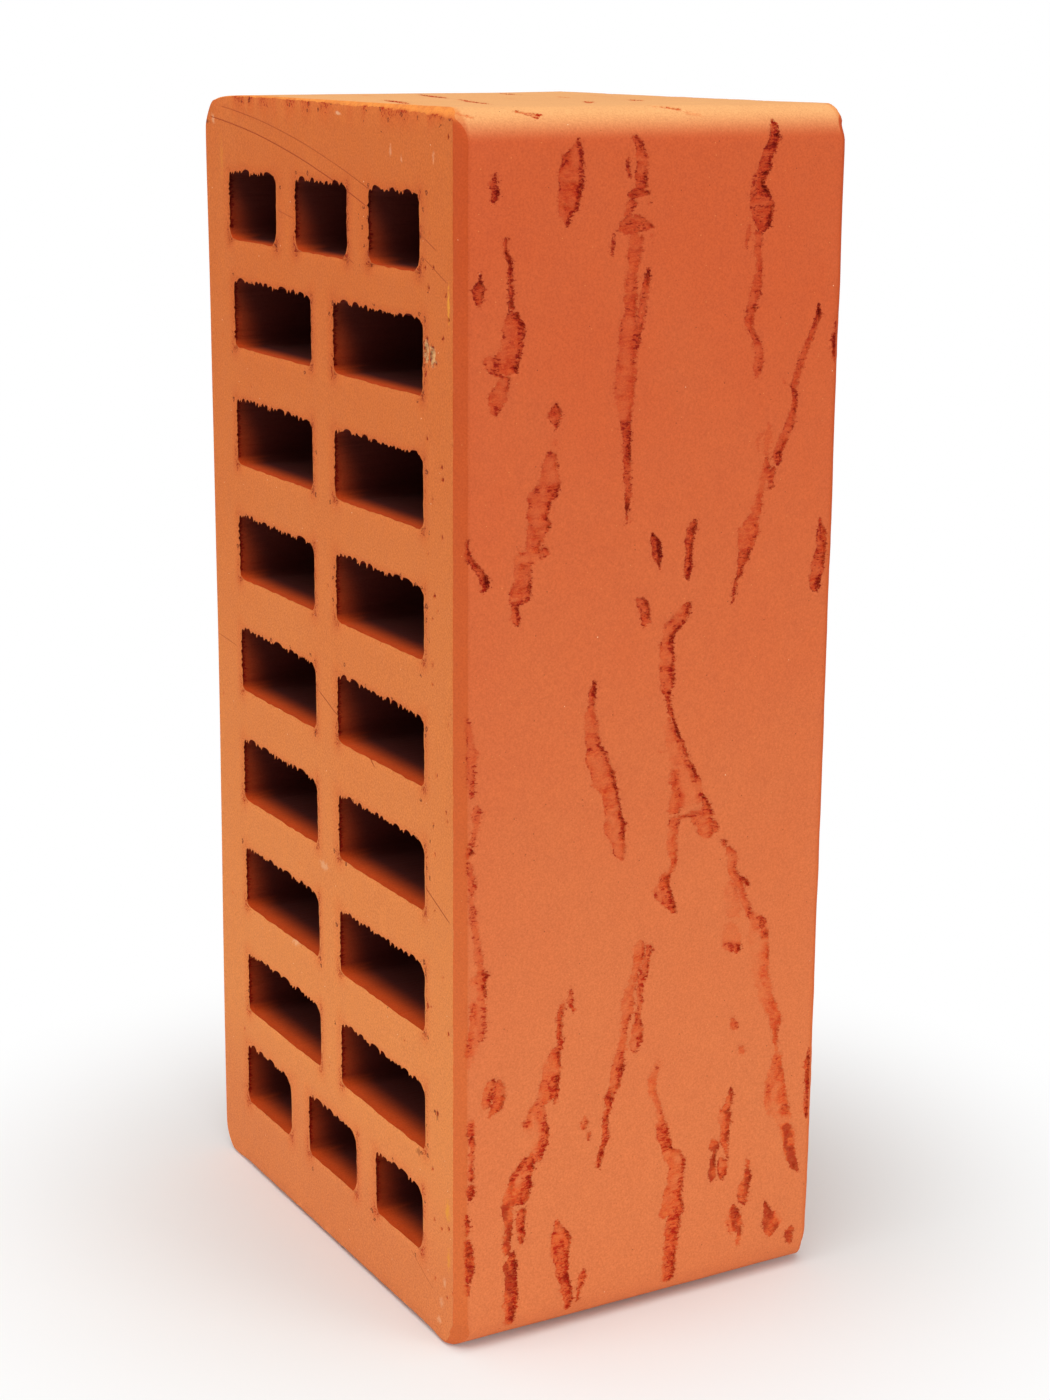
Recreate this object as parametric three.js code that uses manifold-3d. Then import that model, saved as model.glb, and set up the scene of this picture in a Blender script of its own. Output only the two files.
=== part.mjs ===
// Perforated clay facing brick, standing on one header.
//
// Millimetres, +Z up. The brick's length runs along Z, its width along Y and its height, from
// bed face to bed face, along X. The textured stretcher face looks towards -Y. The origin is
// the middle of the header that it stands on.
//
// The clay leaves the die as one long column along X, with rounded corners and with rows of
// cores through it. Wires slice the column at the two bed faces, and blades then take the
// sharp arrises off the textured faces.

import * as THREE from 'three';
import { mergeVertices } from 'three/addons/utils/BufferGeometryUtils.js';
import Module from 'manifold-3d';

const wasm = await Module();
wasm.setup();

// Outside of the brick.
const LENGTH = 250; // header to header, along Z
const WIDTH = 120; // stretcher to stretcher, along Y
const HEIGHT = 88; // bed to bed, along X
const DIE_CORNER_RADIUS = 7; // the four corners of the column
const FACE_ARRIS = 2; // flat 45 degree blade cut along the textured stretcher face
const HEADER_ARRIS = 1; // the same cut along both headers

// Core pattern. Full rows hold two wide cores. One row of three small cores closes each end.
const CORE_THICKNESS = 14.7; // every core, along the brick's length
const CORE_CORNER_RADIUS = 2.5;
const FULL_ROWS = 7;
const SIDE_WALL = 15; // beside the wide cores, on both stretchers
const CENTRE_WEB = 10.8; // between the two wide cores
const END_WALL = 16.3; // between a header and its row of small cores
const END_RIB = 8.7; // between a row of small cores and the first full row
const END_CORES = 3;
const END_WEB = 9.65; // between small cores
const END_FACE_WALL = 16.3; // beside the small cores, on the textured stretcher
const END_BACK_WALL = 13.6; // beside the small cores, on the plain stretcher
const FACE_CORE_LESS = 2.7; // the small core next to the textured stretcher is this much narrower

// Modelling allowances.
const CUT_PAST = 5; // how far every cutting solid runs past the clay
const CORNER_STEPS = 6; // curve steps in each half of a die corner
const CORE_STEPS = 3; // curve steps in each half of a core's corner

const clay = new THREE.MeshStandardMaterial({ color: 0xd2713f, roughness: 0.92, metalness: 0 });

// Rounded rectangle in the section plane, where x is the brick's Y and y is its Z.
function roundedRectangle(y0, y1, z0, z1, cornerRadius) {
  const r = Math.min(cornerRadius, (y1 - y0) / 2, (z1 - z0) / 2);
  const shape = new THREE.Shape();
  shape.moveTo(y0 + r, z0);
  shape.lineTo(y1 - r, z0);
  shape.absarc(y1 - r, z0 + r, r, -Math.PI / 2, 0);
  shape.lineTo(y1, z1 - r);
  shape.absarc(y1 - r, z1 - r, r, 0, Math.PI / 2);
  shape.lineTo(y0 + r, z1);
  shape.absarc(y0 + r, z1 - r, r, Math.PI / 2, Math.PI);
  shape.lineTo(y0, z0 + r);
  shape.absarc(y0 + r, z0 + r, r, Math.PI, 1.5 * Math.PI);
  return shape;
}

// Prism of a shape, centred on the shape's plane. u and v are the directions of the shape's
// axes, and the prism runs along u x v.
function prism(shape, run, curveSegments, u, v, origin) {
  const geometry = new THREE.ExtrudeGeometry(shape, { depth: run, bevelEnabled: false, curveSegments });
  geometry.translate(0, 0, -run / 2);
  const along = new THREE.Vector3().crossVectors(u, v);
  geometry.applyMatrix4(new THREE.Matrix4().makeBasis(u, v, along).setPosition(origin));
  return geometry;
}

// Closed geometry as a solid that can be joined and cut.
function toSolid(geometry) {
  geometry.deleteAttribute('normal');
  geometry.deleteAttribute('uv');
  const merged = mergeVertices(geometry);
  return new wasm.Manifold(new wasm.Mesh({
    numProp: 3,
    vertProperties: new Float32Array(merged.attributes.position.array),
    triVerts: new Uint32Array(merged.index.array),
  }));
}

// A solid back as geometry.
function toGeometry(solid) {
  const mesh = solid.getMesh();
  const geometry = new THREE.BufferGeometry();
  geometry.setAttribute('position', new THREE.BufferAttribute(new Float32Array(mesh.vertProperties), 3));
  geometry.setIndex(new THREE.BufferAttribute(new Uint32Array(mesh.triVerts), 1));
  geometry.computeVertexNormals();
  return geometry;
}

const X = new THREE.Vector3(1, 0, 0);
const Y = new THREE.Vector3(0, 1, 0);
const Z = new THREE.Vector3(0, 0, 1);
const CENTRE = new THREE.Vector3(0, 0, 0);

// The slice of die column between the two bed faces.
function columnSlice() {
  const section = roundedRectangle(-WIDTH / 2, WIDTH / 2, 0, LENGTH, DIE_CORNER_RADIUS);
  return toSolid(prism(section, HEIGHT, CORNER_STEPS, Y, Z, CENTRE));
}

// One core, right through from bed to bed.
function core(y0, y1, z0) {
  const section = roundedRectangle(y0, y1, z0, z0 + CORE_THICKNESS, CORE_CORNER_RADIUS);
  return toSolid(prism(section, HEIGHT + 2 * CUT_PAST, CORE_STEPS, Y, Z, CENTRE));
}

// Places of the wide cores: two to a row, and the rows share out the length that the end rows leave.
function wideCores() {
  const width = (WIDTH - 2 * SIDE_WALL - CENTRE_WEB) / 2;
  const first = END_WALL + CORE_THICKNESS + END_RIB;
  const pitch = (LENGTH - 2 * first - CORE_THICKNESS) / (FULL_ROWS - 1);
  const places = [];
  for (let row = 0; row < FULL_ROWS; row += 1) {
    for (const y0 of [-WIDTH / 2 + SIDE_WALL, CENTRE_WEB / 2]) {
      places.push([y0, y0 + width, first + row * pitch]);
    }
  }
  return places;
}

// Places of the small cores: one row behind each header, counted from the textured stretcher.
function endCores() {
  const clear = WIDTH - END_FACE_WALL - END_BACK_WALL - (END_CORES - 1) * END_WEB;
  const width = (clear + FACE_CORE_LESS) / END_CORES;
  const places = [];
  for (const z0 of [END_WALL, LENGTH - END_WALL - CORE_THICKNESS]) {
    let y0 = -WIDTH / 2 + END_FACE_WALL;
    for (let i = 0; i < END_CORES; i += 1) {
      const y1 = y0 + width - (i === 0 ? FACE_CORE_LESS : 0);
      places.push([y0, y1, z0]);
      y0 = y1 + END_WEB;
    }
  }
  return places;
}

// What a blade takes off one arris. bed and side point out of the two faces that meet there.
function arrisCut(size, bed, side, run, middle) {
  const tip = -size - CUT_PAST;
  const triangle = new THREE.Shape([
    new THREE.Vector2(tip, CUT_PAST),
    new THREE.Vector2(CUT_PAST, tip),
    new THREE.Vector2(CUT_PAST, CUT_PAST),
  ]);
  return toSolid(prism(triangle, run + 2 * CUT_PAST, 1, bed, side, middle));
}

// Blade cuts round one bed face: along the textured stretcher and along both headers.
function arrisCuts(bed) {
  const x = bed.x * HEIGHT / 2;
  const down = Z.clone().negate();
  return [
    arrisCut(FACE_ARRIS, bed, Y.clone().negate(), LENGTH, new THREE.Vector3(x, -WIDTH / 2, LENGTH / 2)),
    arrisCut(HEADER_ARRIS, bed, Z, WIDTH, new THREE.Vector3(x, 0, LENGTH)),
    arrisCut(HEADER_ARRIS, bed, down, WIDTH, new THREE.Vector3(x, 0, 0)),
  ];
}

function brick() {
  let solid = columnSlice();
  for (const place of [...wideCores(), ...endCores()]) {
    solid = solid.subtract(core(...place));
  }
  for (const bed of [X, X.clone().negate()]) {
    for (const cut of arrisCuts(bed)) {
      solid = solid.subtract(cut);
    }
  }
  const mesh = new THREE.Mesh(toGeometry(solid), clay);
  mesh.name = 'brick';
  return mesh;
}

const group = new THREE.Group();
group.add(brick());

export default group;
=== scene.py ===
"""Looks of a perforated clay facing brick that stands on one header.

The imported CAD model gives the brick's box. One closed mesh stands for its only node: the die skin with
its bark-like tears, the blade cuts along the arrises, the two wire-cut bed faces and the walls of the
twenty cores. Shapes are worked out in millimetres in the frame's axes, and the mesh is scaled to metres.

X runs from bed to bed, Y from the textured stretcher to the plain one, and Z up the brick's length.
"""

import math

import bpy
import numpy as np
from mathutils import Matrix, Vector
from mathutils.geometry import delaunay_2d_cdt
from mathutils.kdtree import KDTree


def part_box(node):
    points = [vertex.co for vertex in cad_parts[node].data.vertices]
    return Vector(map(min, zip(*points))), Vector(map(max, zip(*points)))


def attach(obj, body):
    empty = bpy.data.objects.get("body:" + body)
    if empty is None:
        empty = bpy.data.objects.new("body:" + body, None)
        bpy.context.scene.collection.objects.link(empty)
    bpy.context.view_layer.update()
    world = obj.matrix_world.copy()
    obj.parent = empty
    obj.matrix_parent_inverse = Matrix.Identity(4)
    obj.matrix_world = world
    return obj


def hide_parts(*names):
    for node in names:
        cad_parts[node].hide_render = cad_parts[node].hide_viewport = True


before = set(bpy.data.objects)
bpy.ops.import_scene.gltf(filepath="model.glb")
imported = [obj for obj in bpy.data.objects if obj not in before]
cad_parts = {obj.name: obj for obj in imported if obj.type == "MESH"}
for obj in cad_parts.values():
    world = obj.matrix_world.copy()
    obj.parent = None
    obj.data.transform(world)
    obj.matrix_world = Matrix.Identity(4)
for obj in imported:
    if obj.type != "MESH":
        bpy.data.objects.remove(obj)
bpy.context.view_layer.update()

# ---------------------------------------------------------------------------------------------
# Sizes, in millimetres
# ---------------------------------------------------------------------------------------------

MM = 0.001
low_corner, high_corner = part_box("brick")
HEIGHT, WIDTH, LENGTH = [round((b - a) / MM, 3) for a, b in zip(low_corner, high_corner)]
HALF_HEIGHT = HEIGHT / 2
FACE_Y = -WIDTH / 2
BACK_Y = WIDTH / 2
DIE_RADIUS = 7.0

# The core pattern, as the CAD source has it.
CORE_THICKNESS = 14.7
FULL_ROWS = 7
SIDE_WALL = 15.0
CENTRE_WEB = 10.8
END_WALL = 16.3
END_RIB = 8.7
END_CORES = 3
END_WEB = 9.65
END_FACE_WALL = 16.3
END_BACK_WALL = 13.6
FACE_CORE_LESS = 2.7

# Blade cuts along the arrises, measured along either face.
STRIP = 2.0  # textured stretcher
STRIP_FOOT = 2.15  # and where it ends at the foot
FOOT_RISE = 40.0  # how far up it takes to narrow
HEADER_CUT = 1.0  # headers, at the far bed
FOOT_CUT = 0.5  # lower header, at the near bed
FOOT_HOLLOW = 0.5  # how far the middle of the lower header lies behind its corners
BACK_DROOP = (1.1, 0.0)  # how far the upper header sags towards the plain stretcher, near and far
DROOP_REACH = 5.5  # and how soon that passes
BACK_BOW = 1.7  # how hollow the plain stretcher is
BACK_ROUNDER = 0.6  # how much further in its near top corner is
# Corners of the beds that are rubbed off: bed, Z and how much more the arris is cut there.
NEAR, FAR = 0, 1
RUBBED = [(FAR, 0.0, 2.0), (FAR, LENGTH, 2.0), (NEAR, 0.0, 2.4), (NEAR, LENGTH, 0.5)]

# ---------------------------------------------------------------------------------------------
# Noise
# ---------------------------------------------------------------------------------------------

TABLE = 512


def eased(part):
    return part * part * (3 - 2 * part)


def step(low, high, value):
    """0 below low, 1 above high and smooth between them."""
    return eased(np.clip((value - low) / (high - low), 0, 1))


def noise_1d(at, cell, seed):
    """Smooth noise from -1 to 1, with one random value to a cell."""
    place = np.asarray(at, float) / cell
    whole = np.floor(place).astype(int)
    ease = eased(place - whole)
    values = np.random.default_rng(seed).uniform(-1, 1, TABLE)
    return values[whole % TABLE] * (1 - ease) + values[(whole + 1) % TABLE] * ease


def noise_2d(u, v, cell_u, cell_v, seed, turn=TABLE):
    """The same over a surface. It repeats along u after turn cells."""
    u = np.asarray(u, float) / cell_u
    v = np.asarray(v, float) / cell_v
    iu = np.floor(u).astype(int)
    iv = np.floor(v).astype(int)
    eu = eased(u - iu)
    ev = eased(v - iv)
    values = np.random.default_rng(seed).uniform(-1, 1, (turn, TABLE))
    low = values[iu % turn, iv % TABLE] * (1 - ev) + values[iu % turn, (iv + 1) % TABLE] * ev
    high = values[(iu + 1) % turn, iv % TABLE] * (1 - ev) + values[(iu + 1) % turn, (iv + 1) % TABLE] * ev
    return low * (1 - eu) + high * eu


# ---------------------------------------------------------------------------------------------
# The die's section: s runs down the textured stretcher, along the lower header, up the plain
# stretcher and back along the upper header. It is 0 where the textured stretcher's flat begins.
# ---------------------------------------------------------------------------------------------

STRETCHER_FLAT = LENGTH - 2 * DIE_RADIUS
HEADER_FLAT = WIDTH - 2 * DIE_RADIUS
ARC = math.pi / 2 * DIE_RADIUS
FACE_TOP = LENGTH - DIE_RADIUS
LOWER_HEADER_S = STRETCHER_FLAT + ARC
BACK_S = LOWER_HEADER_S + HEADER_FLAT + ARC
UPPER_HEADER_S = BACK_S + STRETCHER_FLAT + ARC
ROUND = UPPER_HEADER_S + HEADER_FLAT + ARC


def die_section(s):
    """Y, Z and the outward normal of the die surface at s."""
    s = np.mod(s, ROUND)
    y, z, ny, nz = (np.zeros_like(s) for _ in range(4))
    inner_y = BACK_Y - DIE_RADIUS
    corner_low, corner_high = DIE_RADIUS, LENGTH - DIE_RADIUS
    # Start, length, first point and outward normal of each flat, and the corner that follows it.
    flats = [
        (0.0, STRETCHER_FLAT, (FACE_Y, corner_high), (-1, 0), (-inner_y, corner_low)),
        (LOWER_HEADER_S, HEADER_FLAT, (-inner_y, 0.0), (0, -1), (inner_y, corner_low)),
        (BACK_S, STRETCHER_FLAT, (BACK_Y, corner_low), (1, 0), (inner_y, corner_high)),
        (UPPER_HEADER_S, HEADER_FLAT, (inner_y, LENGTH), (0, 1), (-inner_y, corner_high)),
    ]
    for start, length, first, normal, centre in flats:
        along = s - start
        on_flat = (along >= 0) & (along < length)
        # The direction of travel is the normal turned a quarter to the left.
        y[on_flat] = first[0] - normal[1] * along[on_flat]
        z[on_flat] = first[1] + normal[0] * along[on_flat]
        ny[on_flat], nz[on_flat] = normal
        on_arc = (along >= length) & (along < length + ARC)
        turn = (along[on_arc] - length) / DIE_RADIUS
        ny[on_arc] = normal[0] * np.cos(turn) - normal[1] * np.sin(turn)
        nz[on_arc] = normal[1] * np.cos(turn) + normal[0] * np.sin(turn)
        y[on_arc] = centre[0] + DIE_RADIUS * ny[on_arc]
        z[on_arc] = centre[1] + DIE_RADIUS * nz[on_arc]
    return y, z, ny, nz


# ---------------------------------------------------------------------------------------------
# The camera, and what a pixel of the 1050 x 1400 photograph shows
# ---------------------------------------------------------------------------------------------

CAMERA_PLACE = (-0.26933, -0.48288, 0.26327)
CAMERA_TURN, CAMERA_PITCH, CAMERA_ROLL = (math.radians(angle) for angle in (-29.571, 14.500, 0.393))
FOCAL_PIXELS, PICTURE_WIDTH, PICTURE_HEIGHT, SENSOR = 2583.1, 1050, 1400, 36.0


def camera_axes():
    """The camera's right, up and back, as unit vectors."""
    turn, pitch, roll = CAMERA_TURN, CAMERA_PITCH, CAMERA_ROLL
    back = np.array([math.sin(turn) * math.cos(pitch), -math.cos(turn) * math.cos(pitch), math.sin(pitch)])
    level = np.array([math.cos(turn), math.sin(turn), 0.0])
    upright = np.cross(back, level)
    right = math.cos(roll) * level + math.sin(roll) * upright
    up = math.cos(roll) * upright - math.sin(roll) * level
    return right, up, back


def on_plane(pixel_x, pixel_y, axis, value):
    """Where the sight line through a pixel meets the plane on which one coordinate has this value, in mm."""
    right, up, back = camera_axes()
    across = (pixel_x - PICTURE_WIDTH / 2) / FOCAL_PIXELS
    down = (pixel_y - PICTURE_HEIGHT / 2) / FOCAL_PIXELS
    sight = across * right - down * up - back
    eye = np.array(CAMERA_PLACE) / MM
    return eye + (value - eye[axis]) / sight[axis] * sight


def seen(crop, readings):
    """Rows of a tear from readings off a crop: how far down each is, and where the tear's two edges are."""
    corner_x, corner_y, zoom = crop
    rows = []
    for down, *edges in readings:
        left, right = (on_plane(corner_x + edge / zoom, corner_y + down / zoom, 1, FACE_Y) for edge in edges)
        rows.append((round((left[2] + right[2]) / 2, 1), round(left[0], 1), round(right[0], 1)))
    return rows


def bed_curve(pixels, ends=None):
    """Y from and to, and a, b and c of Z = a + b Y + c Y Y, along pixels of a scratch on the near bed."""
    y, z = np.array([on_plane(*pixel, 0, -HALF_HEIGHT)[1:] for pixel in pixels]).T
    c, b, a = np.polyfit(y, z, 2) if len(pixels) > 2 else (0.0, *np.polyfit(y, z, 1))
    return (*(ends or (min(y), max(y))), a, b, c)


# Enlarged crops of the textured stretcher: pixel X and Y of the corner, and the enlargement.
TOP_MIDDLE = (600, 120, 8)
TOP_LEFT = (470, 220, 371 / 60)
UPPER_LEFT = (505, 430, 402 / 65)
LEFT_EDGE = (440, 700, 1300 / 300)
LEFT_FOOT = (440, 1000, 1300 / 360)
LOW_LEFT = (495, 1090, 5.417)
LOW_RIGHT = (710, 880, 4.333)
FOOT_RIGHT = (680, 1080, 7.222)
FOOT_LEFT = (450, 1100, 5.652)


# ---------------------------------------------------------------------------------------------
# Tears. Each is a list of rows from its top end to its bottom end: how high the row is, and X of
# the tear's left and right edge there. Past the die corner, the height goes on along the curve.
# seen() gives rows from readings made off a crop. The other rows are in millimetres.
# ---------------------------------------------------------------------------------------------

TORN = {"depth": 0.60, "pits": 1.0, "fill": 0.20, "tone": 0.80}
SKIN_OFF = {"depth": 0.40, "pits": 0.82, "fill": 0.16, "tone": 0.66}
FAINT = {"depth": 0.14, "pits": 0.35, "fill": 0.0, "tone": 0.32}
SLIT = {"depth": 0.60, "pits": 1.0, "fill": 0.46, "tone": 0.90}
HATCHED = {"depth": 0.65, "pits": 1.1, "fill": 0.38, "tone": 1.0}
GOUGE = {"depth": 0.70, "pits": 1.1, "fill": 0.44, "tone": 1.0}
BEADS = {"depth": 0.24, "pits": 0.98, "fill": 0.36, "tone": 0.42}
STREAK = {"depth": 0.30, "pits": 0.22, "fill": 1.0, "tone": 1.0}
BODY = {"depth": 0.50, "pits": 0.50, "fill": 0.50, "tone": 1.7}

STRETCHER_TEARS = [
    # Upper left.
    (GOUGE, [(238.3, -36.5, -36.3), (236.5, -37.2, -36.0), (234.8, -37.5, -35.6), (233.5, -37.3, -35.8),
            (232.4, -37.0, -36.7)]),
    (GOUGE, [(220.2, -39.4, -39.25), (218.5, -39.8, -39.1), (217.2, -40.8, -38.7), (215.8, -40.8, -38.8),
            (214.6, -40.3, -39.2), (213.9, -40.0, -39.6)]),
    (TORN, [(244.3, -18.8, -18.4), (242.7, -20.0, -17.7), (241.0, -21.8, -17.4), (239.0, -22.7, -17.5),
            (236.0, -22.8, -17.8), (233.0, -22.9, -18.3), (231.3, -22.9, -19.0), (230.2, -22.3, -20.0),
            (227.8, -20.9, -20.6)]),
    (SLIT, seen(TOP_LEFT, [(108, 222, 240), (150, 207, 235), (200, 212, 238), (240, 225, 258),
        (275, 238, 262), (330, 240, 265), (400, 244, 262), (450, 240, 272), (500, 248, 270),
        (565, 238, 282)])),
    (TORN, seen(TOP_LEFT, [(560, 240, 282), (600, 222, 300), (640, 217, 325), (680, 212, 332),
        (760, 203, 328), (790, 195, 325), (820, 172, 318), (845, 160, 312), (920, 160, 300),
        (960, 168, 290), (970, 175, 260)])),
    (TORN, seen(TOP_LEFT, [(835, 110, 160), (860, 95, 175), (885, 88, 170), (915, 98, 168), (945, 130, 165),
        (965, 155, 185)])),
    (TORN, seen(TOP_LEFT, [(960, 180, 230), (990, 180, 238), (1030, 160, 232), (1070, 128, 225),
        (1110, 122, 228), (1150, 118, 200), (1180, 120, 185), (1215, 135, 180)])),
    (SLIT, [(195.0, -23.1, -22.7), (193.7, -23.9, -22.2), (192.5, -24.4, -21.9), (191.2, -23.8, -22.6),
            (190.0, -22.9, -22.4)]),
    (FAINT, [(188.4, -23.6, -23.0), (187.3, -24.2, -22.2), (186.4, -23.8, -22.4)]),
    # Long tear left of the middle, with its branch.
    (TORN, seen(TOP_MIDDLE, [(105, 262, 275), (150, 270, 320), (210, 275, 345), (262, 282, 375)])),
    (FAINT, [(241.5, -6.3, -3.8)] + seen(TOP_MIDDLE, [(305, 292, 382)]) + [(238.9, -5.7, -3.4)]),
    (TORN, seen(TOP_MIDDLE, [(340, 300, 385), (400, 298, 385), (440, 278, 387), (490, 285, 382)]) +
        [(234.4, -5.9, -3.4)]),
    (HATCHED, seen(TOP_MIDDLE, [(555, 250, 385), (580, 225, 410), (600, 222, 405)]) +
        [(232.9, -7.6, -5.6)]),
    (SLIT, seen(TOP_MIDDLE, [(636, 384, 402), (658, 388, 406)])),
    (SKIN_OFF, seen(TOP_MIDDLE, [(645, 240, 300), (670, 215, 320), (700, 210, 290)]) + [(230.3, -8.2, -6.6),
        (229.1, -8.6, -6.8)]),
    (TORN, [(229.6, -7.6, -4.7)] + seen(TOP_MIDDLE, [(800, 190, 390), (830, 170, 415), (850, 160, 432),
        (870, 150, 430), (888, 145, 345)]) + [(226.2, -9.7, -6.6)]),
    (SLIT, [(228.5, -6.9, -4.1), (227.7, -7.0, -2.9), (226.9, -6.1, -3.6)]),
    (BEADS, seen(TOP_MIDDLE, [(895, 108, 125), (950, 98, 117), (1000, 92, 115), (1060, 88, 107),
        (1095, 98, 122)])),
    (FAINT, seen(TOP_MIDDLE, [(890, 405, 420), (980, 412, 424)])),
    (SKIN_OFF, seen(TOP_MIDDLE, [(275, 234, 248), (330, 214, 236), (370, 210, 236), (420, 222, 245),
        (475, 234, 248)])),
    (SKIN_OFF, [(226.0, -7.0, -4.2), (224.0, -7.2, -4.2), (221.0, -7.4, -4.6), (218.5, -7.6, -5.4),
                (215.0, -7.9, -5.4), (211.0, -8.2, -5.3), (208.0, -8.8, -4.9), (206.0, -9.3, -4.8),
                (203.0, -9.2, -5.2), (200.5, -9.6, -5.5), (197.0, -9.9, -5.7), (193.5, -9.4, -5.9),
                (190.5, -8.5, -6.0), (188.0, -8.1, -6.4), (186.0, -7.9, -6.4)]),
    (TORN, [(220.0, -2.6, -2.4), (217.5, -3.6, -2.7), (214.5, -4.3, -2.9), (211.5, -4.9, -3.4),
            (208.5, -5.2, -4.0), (205.0, -5.1, -4.7)]),
    (SLIT, [(190.5, -7.8, -6.6), (187.5, -7.9, -6.5), (185.0, -7.5, -5.8), (183.3, -7.7, -5.8),
            (180.0, -7.7, -6.0), (177.5, -7.3, -5.9), (175.0, -7.2, -6.1), (172.5, -7.1, -6.5),
            (170.4, -6.8, -6.6)]),
    # Upper right, from over the die corner down to its hook.
    (HATCHED, [(247.5, 25.2, 26.2), (245.8, 24.8, 26.9), (243.7, 24.4, 26.7), (241.2, 23.3, 25.9),
            (238.7, 22.3, 24.9), (236.2, 21.2, 24.0), (234.8, 20.7, 23.6), (233.2, 20.4, 25.2),
            (230.8, 20.2, 25.5), (228.2, 21.2, 25.4), (226.8, 21.8, 24.9), (225.6, 22.0, 23.4)]),
    (SKIN_OFF, [(227.4, 20.2, 20.7), (226.0, 19.6, 20.5), (224.2, 19.4, 20.2), (222.3, 19.4, 19.8)]),
    (SKIN_OFF, [(226.0, 21.8, 23.2), (222.0, 21.8, 23.3), (218.7, 22.1, 23.6), (215.3, 21.7, 23.5),
                (212.8, 20.9, 22.9), (211.0, 20.2, 22.3)]),
    (TORN, [(211.5, 20.4, 22.4), (208.8, 19.4, 21.7), (207.2, 20.4, 21.8), (205.8, 21.2, 22.5),
            (204.3, 21.9, 23.4)]),
    (SKIN_OFF, [(204.8, 21.8, 23.2), (202.5, 22.4, 24.2), (200.3, 22.1, 24.1), (198.5, 22.3, 23.8),
                (197.0, 22.7, 23.2)]),
    # Diagonal tear to its right.
    (HATCHED, [(211.0, 37.2, 37.7), (209.5, 36.9, 38.1), (207.8, 36.5, 38.0), (206.2, 35.8, 37.3),
               (204.5, 35.0, 36.5)]),
    (TORN, [(204.8, 35.1, 36.6), (202.8, 34.3, 35.7), (201.2, 33.7, 35.0), (199.5, 32.9, 34.2),
            (197.8, 32.1, 33.8), (196.2, 31.5, 33.3), (194.9, 31.4, 32.7), (193.6, 31.8, 32.9),
            (192.0, 31.8, 33.2), (190.0, 31.5, 33.1), (187.5, 30.4, 32.5), (185.0, 29.4, 31.2),
            (183.3, 28.3, 30.4), (181.7, 27.5, 29.5), (180.0, 28.0, 29.5), (178.8, 28.3, 29.0)]),
    (FAINT, [(196.8, 29.7, 30.1), (195.5, 29.1, 29.5)]),
    (FAINT, [(188.0, 26.0, 26.6), (184.5, 25.4, 26.6), (181.0, 25.5, 26.3)]),
    (FAINT, [(186.0, 23.6, 25.2), (184.5, 23.4, 24.0), (182.6, 23.6, 24.6)]),
    (SKIN_OFF, [(179.0, 26.3, 28.2), (177.0, 26.0, 28.0), (175.0, 26.4, 27.8), (174.0, 26.9, 27.4)]),
    (SKIN_OFF, [(181.0, 25.5, 26.3), (179.0, 25.2, 26.8), (177.0, 24.6, 26.2), (175.0, 24.0, 25.6),
                (172.5, 23.4, 24.9), (170.0, 22.6, 24.8), (168.5, 21.4, 24.5), (167.0, 20.2, 24.4),
                (165.5, 19.4, 24.3), (164.0, 19.2, 23.8), (162.8, 19.8, 23.2), (161.8, 20.2, 22.5)]),
    (SLIT, [(162.2, 20.0, 22.2), (160.5, 19.8, 22.2), (159.0, 19.9, 20.9), (157.5, 19.3, 20.6),
            (156.5, 18.8, 19.6), (154.0, 18.7, 19.3), (151.5, 18.4, 18.8)]),
    (HATCHED, [(208.2, 41.8, 42.3), (206.5, 41.7, 42.4), (204.0, 41.2, 42.3), (201.5, 41.3, 42.2),
            (199.0, 41.8, 42.2)]),
    # Band of short tears above the middle.
    (TORN, seen(UPPER_LEFT, [(140, 265, 325), (180, 248, 318), (220, 240, 318), (260, 235, 325),
        (300, 215, 338), (335, 205, 345), (370, 180, 330), (390, 150, 325), (425, 142, 318),
        (440, 142, 285), (520, 142, 270)]) + [(171.1, -29.1, -24.2), (169.6, -29.2, -25.4)] +
        seen(UPPER_LEFT, [(700, 132, 225)]) + [(167.2, -29.5, -26.4), (166.6, -30.2, -26.2)]),
    (SLIT, seen(UPPER_LEFT, [(725, 230, 262), (745, 225, 268), (770, 235, 265), (795, 238, 250)])),
    (SKIN_OFF, seen(UPPER_LEFT, [(735, 82, 92), (765, 75, 85)])),
    (FAINT, seen(UPPER_LEFT, [(730, 125, 230), (760, 110, 235), (780, 70, 230), (810, 58, 220)]) +
        [(163.8, -32.0, -28.6)]),
    (TORN, seen(UPPER_LEFT, [(835, 55, 155), (870, 58, 162), (920, 62, 155), (960, 50, 160),
        (1000, 35, 155), (1040, 30, 152), (1075, 35, 140), (1090, 38, 80)])),
    (TORN, seen(UPPER_LEFT, [(1075, 50, 85), (1110, 40, 82), (1150, 32, 95), (1180, 35, 92),
        (1215, 75, 88)])),
    (GOUGE, [(168.0, -0.9, -0.6), (166.7, -1.0, 0.4), (165.0, -0.8, 1.2), (163.3, -0.5, 1.6),
            (162.0, 0.4, 1.4), (160.5, 1.0, 1.3)]),
    (GOUGE, [(170.0, 9.1, 9.4), (168.7, 7.5, 9.5), (166.7, 7.1, 9.2), (165.0, 7.1, 8.8),
            (162.5, 7.2, 8.6), (160.0, 7.1, 8.7), (158.3, 7.2, 8.2), (157.3, 7.8, 8.0)]),
    (GOUGE, [(155.3, -4.3, -3.0), (154.2, -4.0, -1.6), (152.5, -3.0, -1.0), (150.8, -3.0, -0.9),
            (149.4, -2.8, -1.1)]),
    (HATCHED, [(168.2, 39.4, 39.6), (166.7, 39.3, 40.0), (165.0, 39.0, 40.7), (162.5, 38.7, 41.3),
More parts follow.
